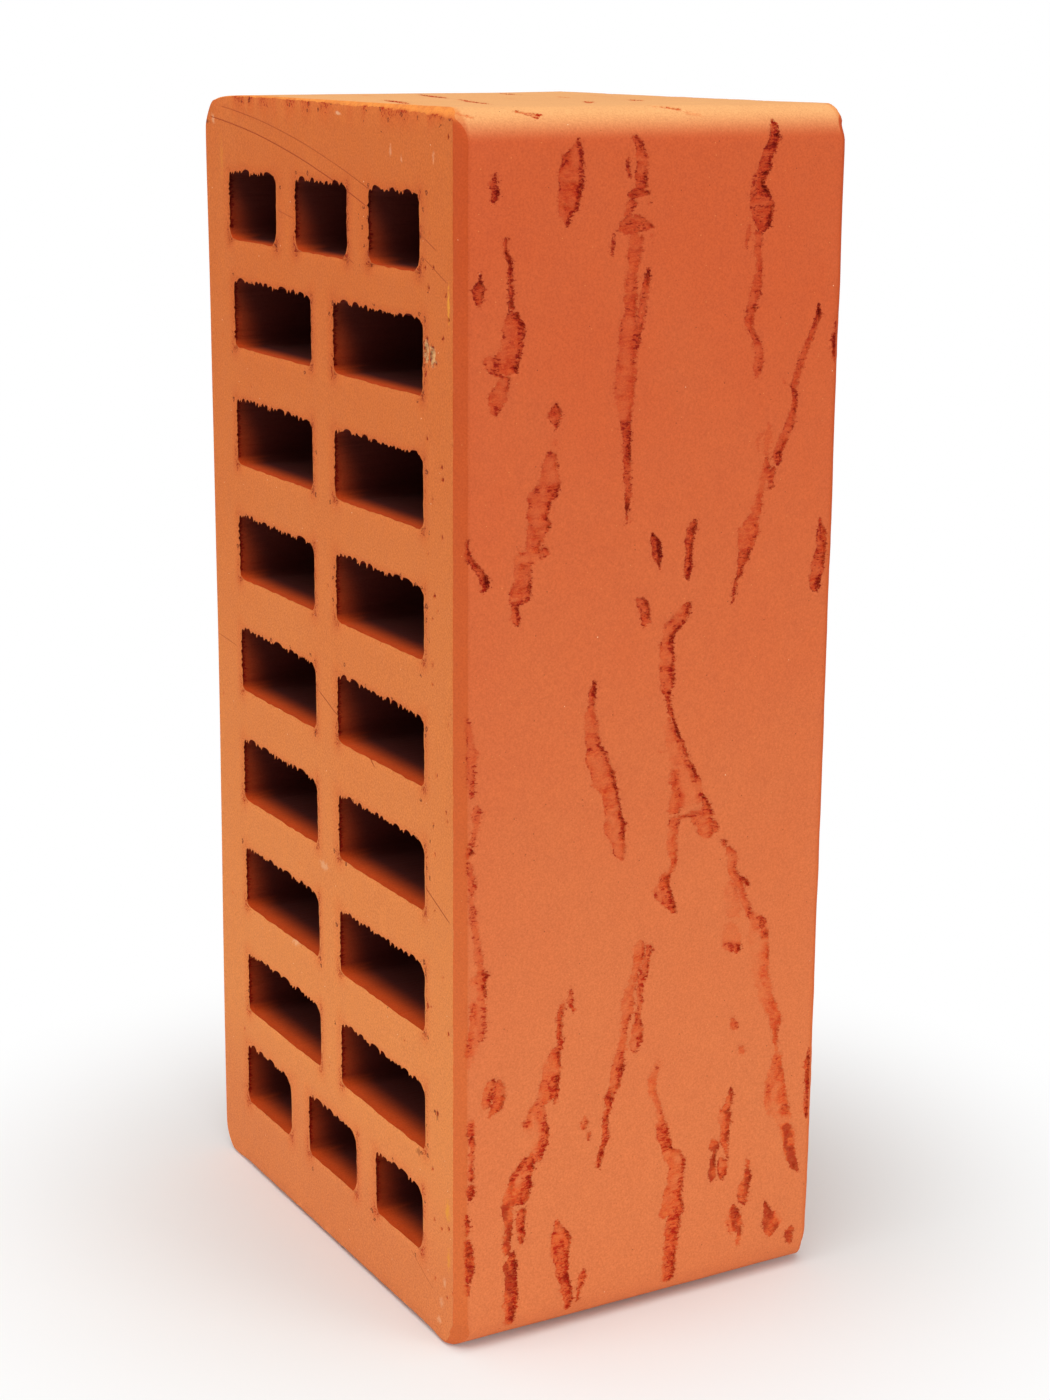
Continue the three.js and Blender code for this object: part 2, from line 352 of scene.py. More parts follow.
            (160.0, 38.3, 41.3), (158.3, 37.9, 41.0), (156.7, 38.0, 40.8), (154.2, 37.5, 40.2),
            (152.3, 38.3, 40.1)]),
    (GOUGE, [(171.0, -42.8, -42.3), (169.2, -42.5, -41.8), (167.5, -42.5, -41.5), (165.8, -41.8, -40.4),
            (164.2, -40.8, -39.0), (162.9, -40.0, -38.2), (161.7, -39.6, -37.5), (160.4, -39.2, -37.7),
            (159.7, -39.0, -38.4)]),
    # Left of the middle.
    (TORN, [(139.6, -13.9, -13.5), (138.0, -14.3, -13.3), (136.7, -15.0, -13.5), (135.0, -14.8, -13.8),
            (132.5, -15.4, -13.3), (130.0, -15.6, -12.9), (128.3, -15.4, -12.5), (125.8, -15.0, -12.1),
            (124.5, -15.2, -10.6), (123.0, -15.1, -10.2), (121.3, -14.6, -9.6), (119.7, -14.2, -8.8),
            (118.0, -13.5, -8.2), (116.3, -11.7, -7.8), (114.7, -11.3, -7.5), (112.6, -11.2, -7.1),
            (110.5, -10.4, -6.5), (108.8, -10.8, -6.0), (107.2, -10.4, -6.0), (105.0, -9.0, -5.8),
            (103.0, -8.6, -5.8), (101.2, -7.1, -6.0)]),
    # The long crack right of the middle: its head, its shaft and its foot.
    (TORN, [(153.3, 8.9, 9.3), (152.9, 7.1, 9.3), (151.7, 5.4, 8.7), (150.4, 4.2, 8.1),
            (149.2, 2.9, 7.5), (147.9, 2.5, 6.2), (146.7, 2.5, 4.8), (144.6, 1.5, 4.7),
            (142.5, 1.7, 4.8), (140.0, 1.8, 4.8), (137.5, 1.9, 5.0), (135.0, 2.3, 4.6)]),
    (SLIT, [(135.2, 3.0, 4.2), (133.0, 3.5, 4.2), (130.9, 3.9, 4.8), (128.8, 4.9, 5.5), (126.3, 5.9, 6.5),
            (124.1, 7.0, 7.6), (122.4, 7.5, 8.3), (120.7, 8.3, 9.0), (118.5, 9.5, 10.3),
            (115.6, 10.8, 11.7)]),
    (SKIN_OFF, [(116.4, 10.6, 11.6), (114.2, 11.2, 12.2), (112.0, 12.0, 13.2)]),
    (HATCHED, [(112.4, 12.2, 13.0), (111.1, 12.3, 14.0), (110.0, 12.8, 14.5), (109.1, 11.6, 15.1),
               (108.5, 12.2, 14.6)]),
    (FAINT, [(130.2, 3.0, 4.3), (128.1, 2.8, 5.2), (125.2, 3.3, 6.5), (122.3, 4.3, 7.5), (119.7, 4.9, 8.5),
             (117.2, 5.1, 9.9), (114.6, 5.4, 11.2), (112.6, 5.0, 11.9), (110.3, 4.8, 12.5)]),
    (SKIN_OFF, [(109.0, 10.4, 15.0), (107.0, 10.3, 15.0), (105.7, 11.5, 15.5), (104.0, 12.0, 15.6),
                (102.7, 12.8, 15.0)]),
    (SLIT, [(106.4, 15.0, 16.1), (104.9, 15.4, 16.7), (103.9, 15.8, 16.8)]),
    (SLIT, [(102.1, 17.5, 18.6), (101.2, 17.5, 19.1), (100.2, 18.0, 18.8)]),
    (SKIN_OFF, [(100.0, 18.2, 19.9), (98.5, 18.9, 21.3), (97.0, 19.2, 21.8), (95.5, 19.3, 21.0),
                (94.0, 19.9, 21.6), (92.5, 20.6, 22.8), (91.3, 21.4, 23.0), (90.0, 22.0, 23.6),
                (88.5, 22.6, 24.1), (86.7, 23.4, 24.8), (85.0, 24.2, 25.6), (84.0, 24.6, 25.6)]),
    (SLIT, [(93.2, 22.2, 23.3), (92.2, 22.8, 24.4), (91.0, 24.0, 25.2)]),
    (TORN, seen(LOW_RIGHT, [(165, 200, 225), (180, 195, 235), (200, 205, 230)])),
    (SLIT, seen(LOW_RIGHT, [(225, 238, 248), (235, 235, 250), (245, 238, 247)])),
    (FAINT, [(84.6, 24.6, 27.0), (82.0, 25.4, 29.4), (79.0, 25.0, 30.0), (75.0, 25.6, 30.4),
             (71.0, 26.8, 30.4), (68.0, 27.6, 31.0), (65.4, 28.1, 31.8), (62.5, 29.6, 32.9),
             (60.3, 30.8, 34.0), (58.5, 31.3, 34.2), (57.0, 31.9, 33.4)]),
    (STREAK, [(72.0, 29.3, 29.9), (68.6, 29.5, 30.7), (65.4, 29.9, 31.5), (62.0, 30.8, 32.6),
        (60.5, 31.4, 33.4)] + seen(LOW_RIGHT, [(610, 264, 306)]) + [(57.4, 32.0, 33.4)] +
        seen(LOW_RIGHT, [(700, 276, 292)]) + [(51.0, 32.9, 33.8)]),
    (SKIN_OFF, [(77.0, 29.4, 30.2), (74.0, 29.4, 30.4), (71.0, 29.4, 30.2)]),
    (FAINT, [(52.0, 32.6, 34.0), (49.0, 31.6, 34.6)] + seen(LOW_RIGHT, [(860, 240, 320), (910, 236, 326)]) +
        [(40.5, 30.5, 36.2)] + seen(LOW_RIGHT, [(1000, 250, 332)]) + [(36.0, 33.4, 37.0),
        (33.0, 35.0, 38.0), (31.0, 35.4, 38.8), (28.0, 36.0, 39.0), (25.0, 37.4, 39.6),
        (22.8, 38.9, 40.0)]),
    (SKIN_OFF, [(51.0, 32.7, 33.3), (47.5, 31.6, 32.3), (43.8, 30.7, 31.5), (40.5, 30.5, 31.1)]),
    (STREAK, [(51.0, 33.5, 34.0), (47.0, 34.1, 35.0), (43.8, 34.6, 35.7), (40.5, 35.1, 36.3)]),
    (TORN, [(39.2, 35.2, 36.5)] + seen(LOW_RIGHT, [(992, 310, 345)]) + [(37.4, 35.5, 36.9)]),
    (FAINT, [(33.5, 36.0, 37.6), (30.5, 36.5, 38.4), (27.0, 37.2, 39.0), (24.5, 37.9, 39.4)]),
    (BODY, [(34.3, 36.1, 36.5), (32.2, 36.7, 37.4), (30.5, 36.8, 37.6), (28.5, 37.1, 38.0),
        (26.8, 37.5, 38.3), (25.0, 38.1, 38.9)] + seen(FOOT_RIGHT, [(655, 822, 838)])),
    (FAINT, [(92.6, 19.4, 20.4), (90.6, 19.3, 21.6), (88.5, 19.1, 22.4), (86.4, 19.4, 22.8),
             (84.1, 20.0, 22.0)]),
    (FAINT, [(83.5, 18.9, 21.5)] + seen(LOW_RIGHT, [(240, 55, 135), (280, 60, 130), (310, 75, 120)])),
    (TORN, [(79.0, 19.3, 20.3), (77.8, 19.6, 20.9)]),
    (TORN, [(78.4, 21.0, 22.2), (77.2, 20.9, 22.9), (76.2, 21.6, 22.8)]),
    # The crack's left leg, the bar that joins it and its barbed foot.
    (FAINT, [(123.4, 1.8, 2.7), (122.3, 1.9, 2.5)]),
    (SKIN_OFF, [(121.5, 5.4, 5.9), (119.8, 5.8, 6.3)]),
    (SKIN_OFF, [(118.3, 5.1, 6.0), (116.7, 4.6, 5.9), (114.8, 5.0, 6.1), (112.9, 5.0, 7.1),
                (111.1, 4.8, 7.2), (109.0, 4.6, 7.0)]),
    (TORN, [(109.0, 4.7, 15.0), (108.3, 4.7, 12.0), (107.6, 4.7, 8.4)]),
    (SKIN_OFF, [(108.0, 4.6, 7.0), (104.4, 4.5, 6.7), (101.9, 4.6, 6.6), (99.8, 5.3, 6.6),
                (98.1, 5.4, 6.5), (96.6, 4.0, 6.0)]),
    (TORN, [(97.0, 2.9, 5.2), (95.2, 2.3, 4.8), (93.6, 1.4, 5.0), (92.3, 1.0, 5.5), (91.4, 2.0, 5.8),
            (89.6, 4.0, 6.3), (88.0, 5.4, 6.9)]),
    (SLIT, [(95.5, 3.5, 4.6), (93.8, 3.7, 5.1), (92.1, 3.9, 5.8), (90.4, 4.4, 6.0), (88.6, 5.4, 6.8)]),
    # Beaded line down the left edge.
    (BEADS, seen(LEFT_EDGE, [(45, 78, 92), (75, 98, 118)]) + [(133.7, -42.7, -41.3)] +
        seen(LEFT_EDGE, [(200, 118, 152), (225, 125, 162), (300, 120, 155), (385, 118, 150),
        (430, 122, 148)])),
    (BEADS, seen(LEFT_EDGE, [(455, 148, 170), (480, 142, 178), (515, 145, 178), (545, 150, 170),
        (600, 135, 160), (640, 120, 150)])),
    (SLIT, [(108.9, -42.4, -40.7), (108.0, -42.8, -40.7)] + seen(LEFT_EDGE, [(685, 104, 138)])),
    (BEADS, seen(LEFT_EDGE, [(700, 116, 128), (750, 122, 148), (820, 128, 156), (860, 122, 140),
        (930, 128, 158), (1000, 138, 165), (1080, 150, 175), (1150, 160, 184), (1185, 160, 190)])),
    (TORN, seen(LEFT_EDGE, [(1180, 175, 205), (1200, 145, 212), (1222, 150, 205), (1245, 175, 200),
        (1300, 182, 200)])),
    (BEADS, [(77.3, -38.8, -37.9)] + seen(LEFT_FOOT, [(60, 152, 166), (110, 148, 164)]) +
        [(68.2, -39.8, -38.5)]),
    (FAINT, [(82.0, -41.4, -38.8), (78.0, -41.0, -38.6), (73.5, -41.2, -38.6), (70.0, -41.8, -38.7),
             (66.0, -42.4, -40.0), (63.0, -42.6, -41.6)]),
    (SKIN_OFF, [(76.8, -42.7, -42.1), (74.0, -42.7, -42.1)]),
    (SKIN_OFF, [(76.3, -41.0, -40.4)] + seen(LEFT_FOOT, [(80, 112, 120), (130, 103, 112), (200, 92, 100)])),
    (FAINT, seen(FOOT_LEFT, [(115, 98, 145), (160, 100, 142), (210, 106, 138)])),
    (SLIT, seen(FOOT_LEFT, [(150, 100, 112), (180, 104, 114), (212, 110, 120)])),
    (HATCHED, seen(FOOT_LEFT, [(212, 108, 134), (250, 110, 138), (296, 118, 140)])),
    (SKIN_OFF, seen(FOOT_LEFT, [(296, 108, 138), (350, 110, 134), (405, 104, 134)])),
    (HATCHED, seen(FOOT_LEFT, [(405, 98, 134), (440, 98, 134), (466, 104, 130)])),
    (TORN, seen(FOOT_LEFT, [(478, 110, 134), (500, 100, 138), (540, 92, 134), (580, 104, 120)])),
    (SLIT, seen(FOOT_LEFT, [(650, 84, 96), (690, 92, 104), (712, 92, 112), (748, 94, 110)]) +
        [(26.3, -42.1, -41.6)]),
    (BODY, seen(FOOT_LEFT, [(785, 94, 106), (820, 92, 116), (850, 88, 128), (900, 88, 130), (950, 78, 134),
        (985, 74, 132), (1012, 88, 122), (1045, 106, 124)])),
    (HATCHED, [(24.9, -42.0, -41.3), (22.0, -42.2, -41.0), (19.0, -42.5, -40.9), (16.5, -42.0, -41.2)]),
    (SLIT, seen(FOOT_LEFT, [(1020, 54, 66), (1040, 58, 84), (1060, 78, 112), (1085, 84, 112),
        (1115, 92, 106)])),
    # Lower left.
    (TORN, [(76.3, -18.2, -18.0), (74.5, -18.6, -17.7), (73.0, -18.9, -17.5), (72.0, -18.4, -17.5),
            (70.3, -17.5, -17.1)]),
    (SLIT, [(73.0, -20.5, -19.7), (71.5, -21.0, -19.6), (70.0, -21.4, -20.1), (68.0, -21.3, -20.2),
            (65.5, -21.2, -20.3), (63.5, -20.9, -19.9)]),
    (TORN, [(66.0, -21.1, -19.9), (64.3, -20.8, -19.8), (62.3, -22.9, -20.6), (60.2, -24.2, -20.4),
            (57.7, -24.4, -20.6), (55.2, -25.0, -20.8), (53.5, -25.4, -21.2), (52.3, -26.5, -22.6),
            (51.5, -27.0, -24.4)]),
    (FAINT, seen(LOW_LEFT, [(60, 215, 262)]) + [(51.5, -27.5, -24.4), (49.4, -28.4, -24.2),
        (47.2, -29.2, -23.6), (46.0, -27.5, -23.4), (43.1, -26.8, -23.6), (41.2, -27.5, -24.4),
        (39.3, -28.1, -25.2)]),
    (GOUGE, [(51.8, -25.2, -24.4)] + seen(LOW_LEFT, [(150, 250, 276), (200, 262, 286), (240, 268, 294),
        (290, 256, 286)]) + [(41.2, -25.3, -24.1), (39.2, -25.9, -25.0)]),
    (SKIN_OFF, seen(LOW_LEFT, [(90, 192, 206), (130, 182, 200), (170, 160, 184), (206, 150, 166)])),
    (SLIT, seen(LOW_LEFT, [(170, 158, 176), (190, 150, 168), (207, 150, 162)])),
    (SLIT, [(57.0, -22.0, -21.0), (54.0, -22.1, -21.1), (51.2, -21.9, -21.3)]),
    (SKIN_OFF, [(41.2, -28.8, -27.4), (40.0, -29.8, -26.6), (38.6, -30.9, -26.4)] +
        seen(LOW_LEFT, [(490, 80, 200), (530, 66, 194), (560, 52, 188), (600, 46, 172), (640, 42, 140)])),
    (TORN, [(40.8, -28.7, -27.9), (39.2, -30.3, -29.3), (37.4, -31.7, -30.9), (35.8, -32.5, -31.8)]),
    (GOUGE, seen(LOW_LEFT, [(412, 182, 206), (425, 172, 214), (445, 170, 210)])),
    (GOUGE, seen(LOW_LEFT, [(478, 170, 192), (505, 164, 198)]) + [(34.2, -28.8, -27.1)] +
        seen(LOW_LEFT, [(550, 150, 188)])),
    (HATCHED, seen(LOW_LEFT, [(548, 160, 190), (575, 140, 184), (605, 128, 170), (632, 124, 150)])),
    (BODY, seen(LOW_LEFT, [(540, 62, 86), (580, 48, 92), (640, 42, 90), (700, 50, 90), (760, 56, 92),
        (820, 50, 90), (870, 44, 86), (895, 60, 84)])),
    (HATCHED, [(30.0, -30.3, -28.1)] + seen(LOW_LEFT, [(690, 118, 168), (740, 118, 164)]) +
        seen(LEFT_FOOT, [(850, 280, 305)]) + seen(LOW_LEFT, [(830, 130, 150), (852, 136, 144)])),
    (BODY, seen(LOW_LEFT, [(876, 84, 106), (900, 78, 112), (925, 60, 110), (950, 44, 112)]) +
        [(16.4, -33.4, -30.7)] + seen(LOW_LEFT, [(1040, 58, 114), (1100, 58, 118), (1150, 56, 120),
        (1200, 54, 112), (1250, 50, 108)]) + [(3.4, -32.7, -31.2)]),
    (HATCHED, [(20.4, -31.8, -30.8), (18.6, -31.9, -30.8)] + seen(LOW_LEFT, [(985, 86, 112),
        (1040, 84, 116), (1100, 84, 120), (1145, 82, 122)]) + [(7.2, -32.0, -30.6), (4.6, -32.2, -31.0)]),
    (TORN, [(59.7, -37.2, -35.9)] + seen(LEFT_FOOT, [(310, 165, 198)]) + [(56.8, -38.5, -36.4),
        (55.0, -39.0, -36.7), (53.3, -38.6, -36.8)]),
    (TORN, [(59.5, -35.6, -34.7)] + seen(LEFT_FOOT, [(310, 198, 232), (340, 196, 238), (370, 190, 232),
        (400, 178, 222)]) + [(51.7, -37.8, -36.2)]),
    (SKIN_OFF, [(47.0, -14.9, -14.2), (45.6, -15.8, -13.4), (44.2, -15.6, -14.4)]),
    (SKIN_OFF, [(43.2, -13.9, -13.2), (41.6, -13.9, -13.3)]),
    (TORN, [(25.6, -20.8, -20.5), (23.9, -21.4, -20.0), (22.7, -21.8, -18.8), (21.0, -22.3, -17.7),
            (19.3, -22.5, -17.7), (17.7, -22.3, -18.1), (16.0, -21.8, -18.1), (14.3, -20.8, -18.3),
            (12.7, -20.8, -18.2), (11.0, -20.2, -17.9), (8.5, -19.8, -17.3), (6.4, -19.2, -17.1),
            (4.8, -18.8, -17.1), (3.9, -18.2, -17.3)]),
    (SLIT, [(20.0, -19.6, -18.4), (16.5, -19.8, -18.6), (13.5, -19.6, -18.5), (10.5, -19.4, -18.1),
            (8.0, -18.6, -17.5), (6.0, -18.2, -17.3)]),
    (SLIT, [(12.7, -14.6, -13.9), (11.0, -15.7, -13.9), (9.3, -15.7, -14.4), (7.7, -16.0, -15.0),
            (5.4, -16.1, -15.6)]),
    # Lower middle: the leaning pair and the forked tear.
    (SKIN_OFF, [(83.3, -2.5, -1.2), (82.0, -3.1, -0.6), (80.0, -3.2, -1.0), (77.5, -3.4, -1.8),
                (75.5, -4.0, -2.4), (73.5, -5.0, -3.0), (71.5, -5.6, -3.3), (69.8, -6.4, -3.2),
                (68.0, -5.8, -3.4), (65.5, -5.8, -4.2), (62.5, -6.3, -4.8), (61.0, -6.7, -5.0),
                (58.5, -7.5, -5.4)]),
    (SLIT, [(82.0, -0.2, 1.2), (80.5, -0.4, 1.1), (79.0, -0.8, 0.7), (77.0, -1.3, 0.3),
            (75.5, -1.8, 0.0), (74.0, -2.1, -0.8), (71.5, -2.2, -1.0), (69.0, -2.3, -1.2),
            (67.0, -2.5, -1.4), (65.4, -2.8, -1.5)]),
    (TORN, [(66.0, -2.8, -1.4), (65.0, -3.1, -1.2), (63.8, -3.4, -0.6), (62.0, -3.6, -0.6),
            (60.5, -3.6, -1.3), (59.3, -3.5, -2.2), (58.6, -3.4, -2.9)]),
    (TORN, [(59.5, -7.4, -5.4), (56.0, -8.2, -5.4), (53.5, -8.8, -5.8), (52.0, -8.8, -6.3),
            (50.6, -9.6, -7.3)]),
    (SLIT, [(51.6, -9.2, -7.6), (50.0, -9.6, -7.7), (48.5, -9.6, -7.9), (46.0, -10.2, -8.8),
            (43.5, -10.0, -8.8), (41.0, -10.0, -8.9), (39.3, -10.8, -9.3), (36.8, -11.3, -10.3),
            (34.3, -11.5, -10.9)]),
    (SKIN_OFF, [(55.7, 2.7, 3.3), (53.5, 1.3, 3.2), (51.0, 0.8, 2.9), (49.3, 0.8, 2.8),
                (47.7, 2.1, 3.5), (45.2, 2.9, 4.3), (42.7, 3.3, 4.8), (41.6, 3.0, 5.1)]),
    (TORN, [(42.0, 3.2, 5.0), (41.4, 2.5, 5.3), (40.2, 2.9, 5.7), (38.5, 3.2, 6.0),
            (36.8, 4.2, 6.8), (35.2, 4.3, 7.1), (34.3, 4.8, 9.6), (33.1, 5.8, 9.8),
            (31.8, 6.0, 10.3), (30.2, 6.5, 10.5), (28.5, 6.3, 10.4), (26.8, 5.8, 10.2),
            (25.2, 5.6, 10.0), (23.5, 5.0, 9.8), (21.8, 4.8, 10.4), (20.2, 4.3, 10.2),
            (19.2, 5.6, 9.6)]),
    (SLIT, [(41.0, 3.6, 4.6), (38.0, 4.4, 5.8), (35.4, 5.0, 6.2)]),
    (TORN, [(19.8, 6.0, 9.4), (18.5, 6.3, 9.2), (16.8, 5.8, 9.2), (15.2, 6.0, 8.8),
            (12.7, 5.4, 8.6), (9.3, 5.4, 8.6), (6.8, 5.3, 8.6), (4.8, 5.3, 8.1),
            (3.7, 6.0, 7.3)]),
    (SLIT, [(19.2, 6.4, 7.6), (15.5, 6.6, 8.0), (11.0, 6.4, 7.8), (7.0, 6.6, 7.8),
            (4.6, 6.6, 7.4)]),
    # Lower right.
    (SKIN_OFF, seen(LOW_RIGHT, [(595, 92, 112), (625, 85, 125), (655, 95, 115)])),
    (SKIN_OFF, seen(LOW_RIGHT, [(715, 125, 142), (740, 120, 150), (765, 128, 145)])),
    (BODY, seen(FOOT_RIGHT, [(50, 364, 375), (120, 345, 380), (170, 322, 376), (220, 295, 366),
        (300, 284, 358), (350, 298, 355), (400, 303, 352), (450, 300, 350), (500, 328, 350),
        (570, 335, 350)])),
    (BODY, seen(FOOT_RIGHT, [(430, 230, 240), (470, 214, 275), (505, 220, 275), (525, 246, 268),
        (560, 232, 260), (620, 214, 258), (680, 204, 255), (732, 212, 244)])),
    (SKIN_OFF, seen(FOOT_RIGHT, [(565, 284, 312), (620, 274, 340), (680, 274, 340), (722, 285, 320)])),
    (GOUGE, seen(FOOT_RIGHT, [(695, 285, 315), (722, 290, 305)])),
    (BODY, seen(FOOT_RIGHT, [(570, 490, 500), (640, 477, 504), (700, 458, 509), (740, 438, 508),
        (790, 412, 500), (850, 410, 486), (905, 452, 475)])),
    (SKIN_OFF, seen(FOOT_RIGHT, [(895, 380, 396)]) + [(17.2, 22.1, 23.9), (15.3, 21.8, 24.0),
        (13.2, 22.0, 24.2), (11.8, 22.6, 24.0)]),
    (BODY, seen(FOOT_RIGHT, [(922, 400, 420), (980, 400, 432), (1040, 408, 446), (1100, 413, 442),
        (1150, 414, 434), (1198, 404, 420)])),
    (BODY, seen(FOOT_RIGHT, [(868, 610, 620), (910, 600, 636), (950, 604, 650), (1000, 604, 660)]) +
        [(11.5, 31.3, 34.6)] + seen(FOOT_RIGHT, [(1080, 604, 704), (1110, 614, 682), (1142, 630, 652)])),
    (FAINT, seen(FOOT_RIGHT, [(950, 650, 680), (1000, 656, 730), (1050, 690, 735)])),
    (BODY, seen(FOOT_RIGHT, [(1058, 785, 826), (1100, 764, 820), (1140, 768, 815), (1185, 790, 812)])),
    (TORN, [(51.2, 41.6, 42.0), (48.5, 41.0, 42.1), (46.0, 40.8, 42.1), (41.8, 41.2, 42.1),
            (38.5, 40.8, 42.1), (35.2, 41.4, 42.0)]),
    # Fine lines on the upper die corner.
    (SLIT, [(250.6, -30.6, -29.4), (250.2, -30.3, -28.0), (249.8, -29.0, -26.0), (249.3, -28.0, -24.8),
            (248.9, -27.4, -26.0), (248.2, -27.1, -26.7)]),
    (SKIN_OFF, [(252.6, -0.6, 0.8), (252.1, 0.0, 2.6), (251.5, 2.0, 4.6), (250.9, 3.8, 6.0),
                (250.4, 5.2, 6.4)]),
    (FAINT, [(250.0, 6.4, 7.6), (249.4, 6.2, 9.4), (248.8, 7.0, 10.2), (248.3, 8.4, 10.0)]),
    (SKIN_OFF, [(250.2, -43.2, -42.4), (249.6, -42.8, -41.0), (249.0, -41.4, -39.8),
                (248.4, -40.0, -39.3)]),
]

# Streaks on the upper header: what they are, their width, and X and Y of points along their middle.
HEADER_STREAKS = [
    (GOUGE, 2.4, [(-32.5, -6), (-34.2, -12), (-37.5, -23), (-41.5, -35)]),
    (HATCHED, 2.1, [(-4, 34), (-6.2, 26), (-9.2, 16), (-13, 3)]),
    (SLIT, 1.7, [(-15.5, -6), (-19.6, -18), (-24.5, -32), (-28, -43)]),
    (SKIN_OFF, 1.5, [(17, 9.5), (15.4, 4), (13, -2)]),
    (SLIT, 2.0, [(4, -25), (0, -32), (-5, -41)]),
    (GOUGE, 2.4, [on_plane(630, 99, 2, LENGTH)[:2], (17.4, -22), on_plane(640, 100.5, 2, LENGTH)[:2]]),
    (HATCHED, 1.8, [(20.5, 41), (18.4, 33), (15.6, 23)]),
    (SLIT, 2.0, [(43.2, 33), (42.4, 30), (41.6, 27)]),
    (SLIT, 2.2, [(-41.6, 30), (-42.0, 27), (-42.4, 23.5)]),
    (SLIT, 1.7, [(43.0, -17), (42.6, -19), (42.1, -22)]),
    (SLIT, 1.7, [(43.1, -27), (42.8, -30), (42.4, -33)]),
    (TORN, 1.8, [(43.0, 8), (42.6, 3), (42.0, -2)]),
    (SKIN_OFF, 1.6, [(42.8, -3), (42.4, -7)]),
    (SKIN_OFF, 1.6, [(42.9, -11), (42.5, -14)]),
    (SKIN_OFF, 1.6, [(8, 40), (7.8, 36)]),
    (FAINT, 1.5, [(-19.5, 31), (-20.6, 24)]),
    (FAINT, 1.6, [(30, 20), (28.6, 10), (28.2, 2)]),
    (FAINT, 1.5, [(-2, -2), (-4.5, -10)]),
]

# ---------------------------------------------------------------------------------------------
# The skin of the die column as a lattice over s and X, with its relief
# ---------------------------------------------------------------------------------------------

FINE = 16  # lattice steps in one of the largest cells, each way
SKIN_ROWS, SKIN_COLUMNS = 182, 22
SKIN_NODES = SKIN_ROWS * FINE
SKIN_ACROSS = SKIN_COLUMNS * FINE + 1
SKIN_STEP = ROUND / SKIN_NODES


def arris_cut(y, z, side):
    """How far along X the blades reach from one bed, at a point of the die section."""
    strip = STRIP + (STRIP_FOOT - STRIP) * step(FOOT_RISE, 0, z)
    strip = strip + 0.10 * noise_1d(z, 9.0, 11 + side) + 0.05 * noise_1d(z, 1.7, 13 + side)
    if side == NEAR:
        top = np.interp(y, [FACE_Y, -53, -35, 0, 20, 45, BACK_Y], [2.0, 1.6, 0.90, 0.50, 0.38, 0.22, 0.05])
        foot = np.full_like(y, FOOT_CUT)
    else:
        top = np.full_like(y, HEADER_CUT)
        foot = np.full_like(y, HEADER_CUT)
    fringe = np.maximum(noise_1d(y, 0.55, 15 + side), -0.2) * 0.30 + 0.22 * noise_1d(y, 2.3, 17 + side)
    top = top + fringe * np.minimum(top, 1)
    foot = foot + 0.12 * noise_1d(y, 1.9, 19 + side) * np.minimum(foot, 1)
    return np.maximum.reduce([strip - (y - FACE_Y), top - (LENGTH - z), foot - z, np.zeros_like(y)])


def rubbed_off(y, z, side):
    """How much more is gone at the rubbed corners of one bed."""
    gone = np.zeros_like(y)
    for bed, corner_z, most in RUBBED:
        if bed == side:
            gone = gone + most * step(7.5, 1.5, np.hypot(y - FACE_Y, z - corner_z))
    return gone


def new_skin():
    """The lattice: s of each row, X of each node, and relief that isn't there yet."""
    s = np.arange(SKIN_NODES) * SKIN_STEP
    y, z, _, _ = die_section(s)
    cuts = [arris_cut(y, z, side) + rubbed_off(y, z, side) for side in (NEAR, FAR)]
    part = np.linspace(0, 1, SKIN_ACROSS)
    near, far = -HALF_HEIGHT + cuts[NEAR], HALF_HEIGHT - cuts[FAR]
    x = near[:, None] + (far - near)[:, None] * part
    skin = {"s": s, "y": y, "z": z, "x": x, "cuts": cuts}
    for field in ("depth", "torn", "tear", "pit"):
        skin[field] = np.zeros_like(x)
    return skin


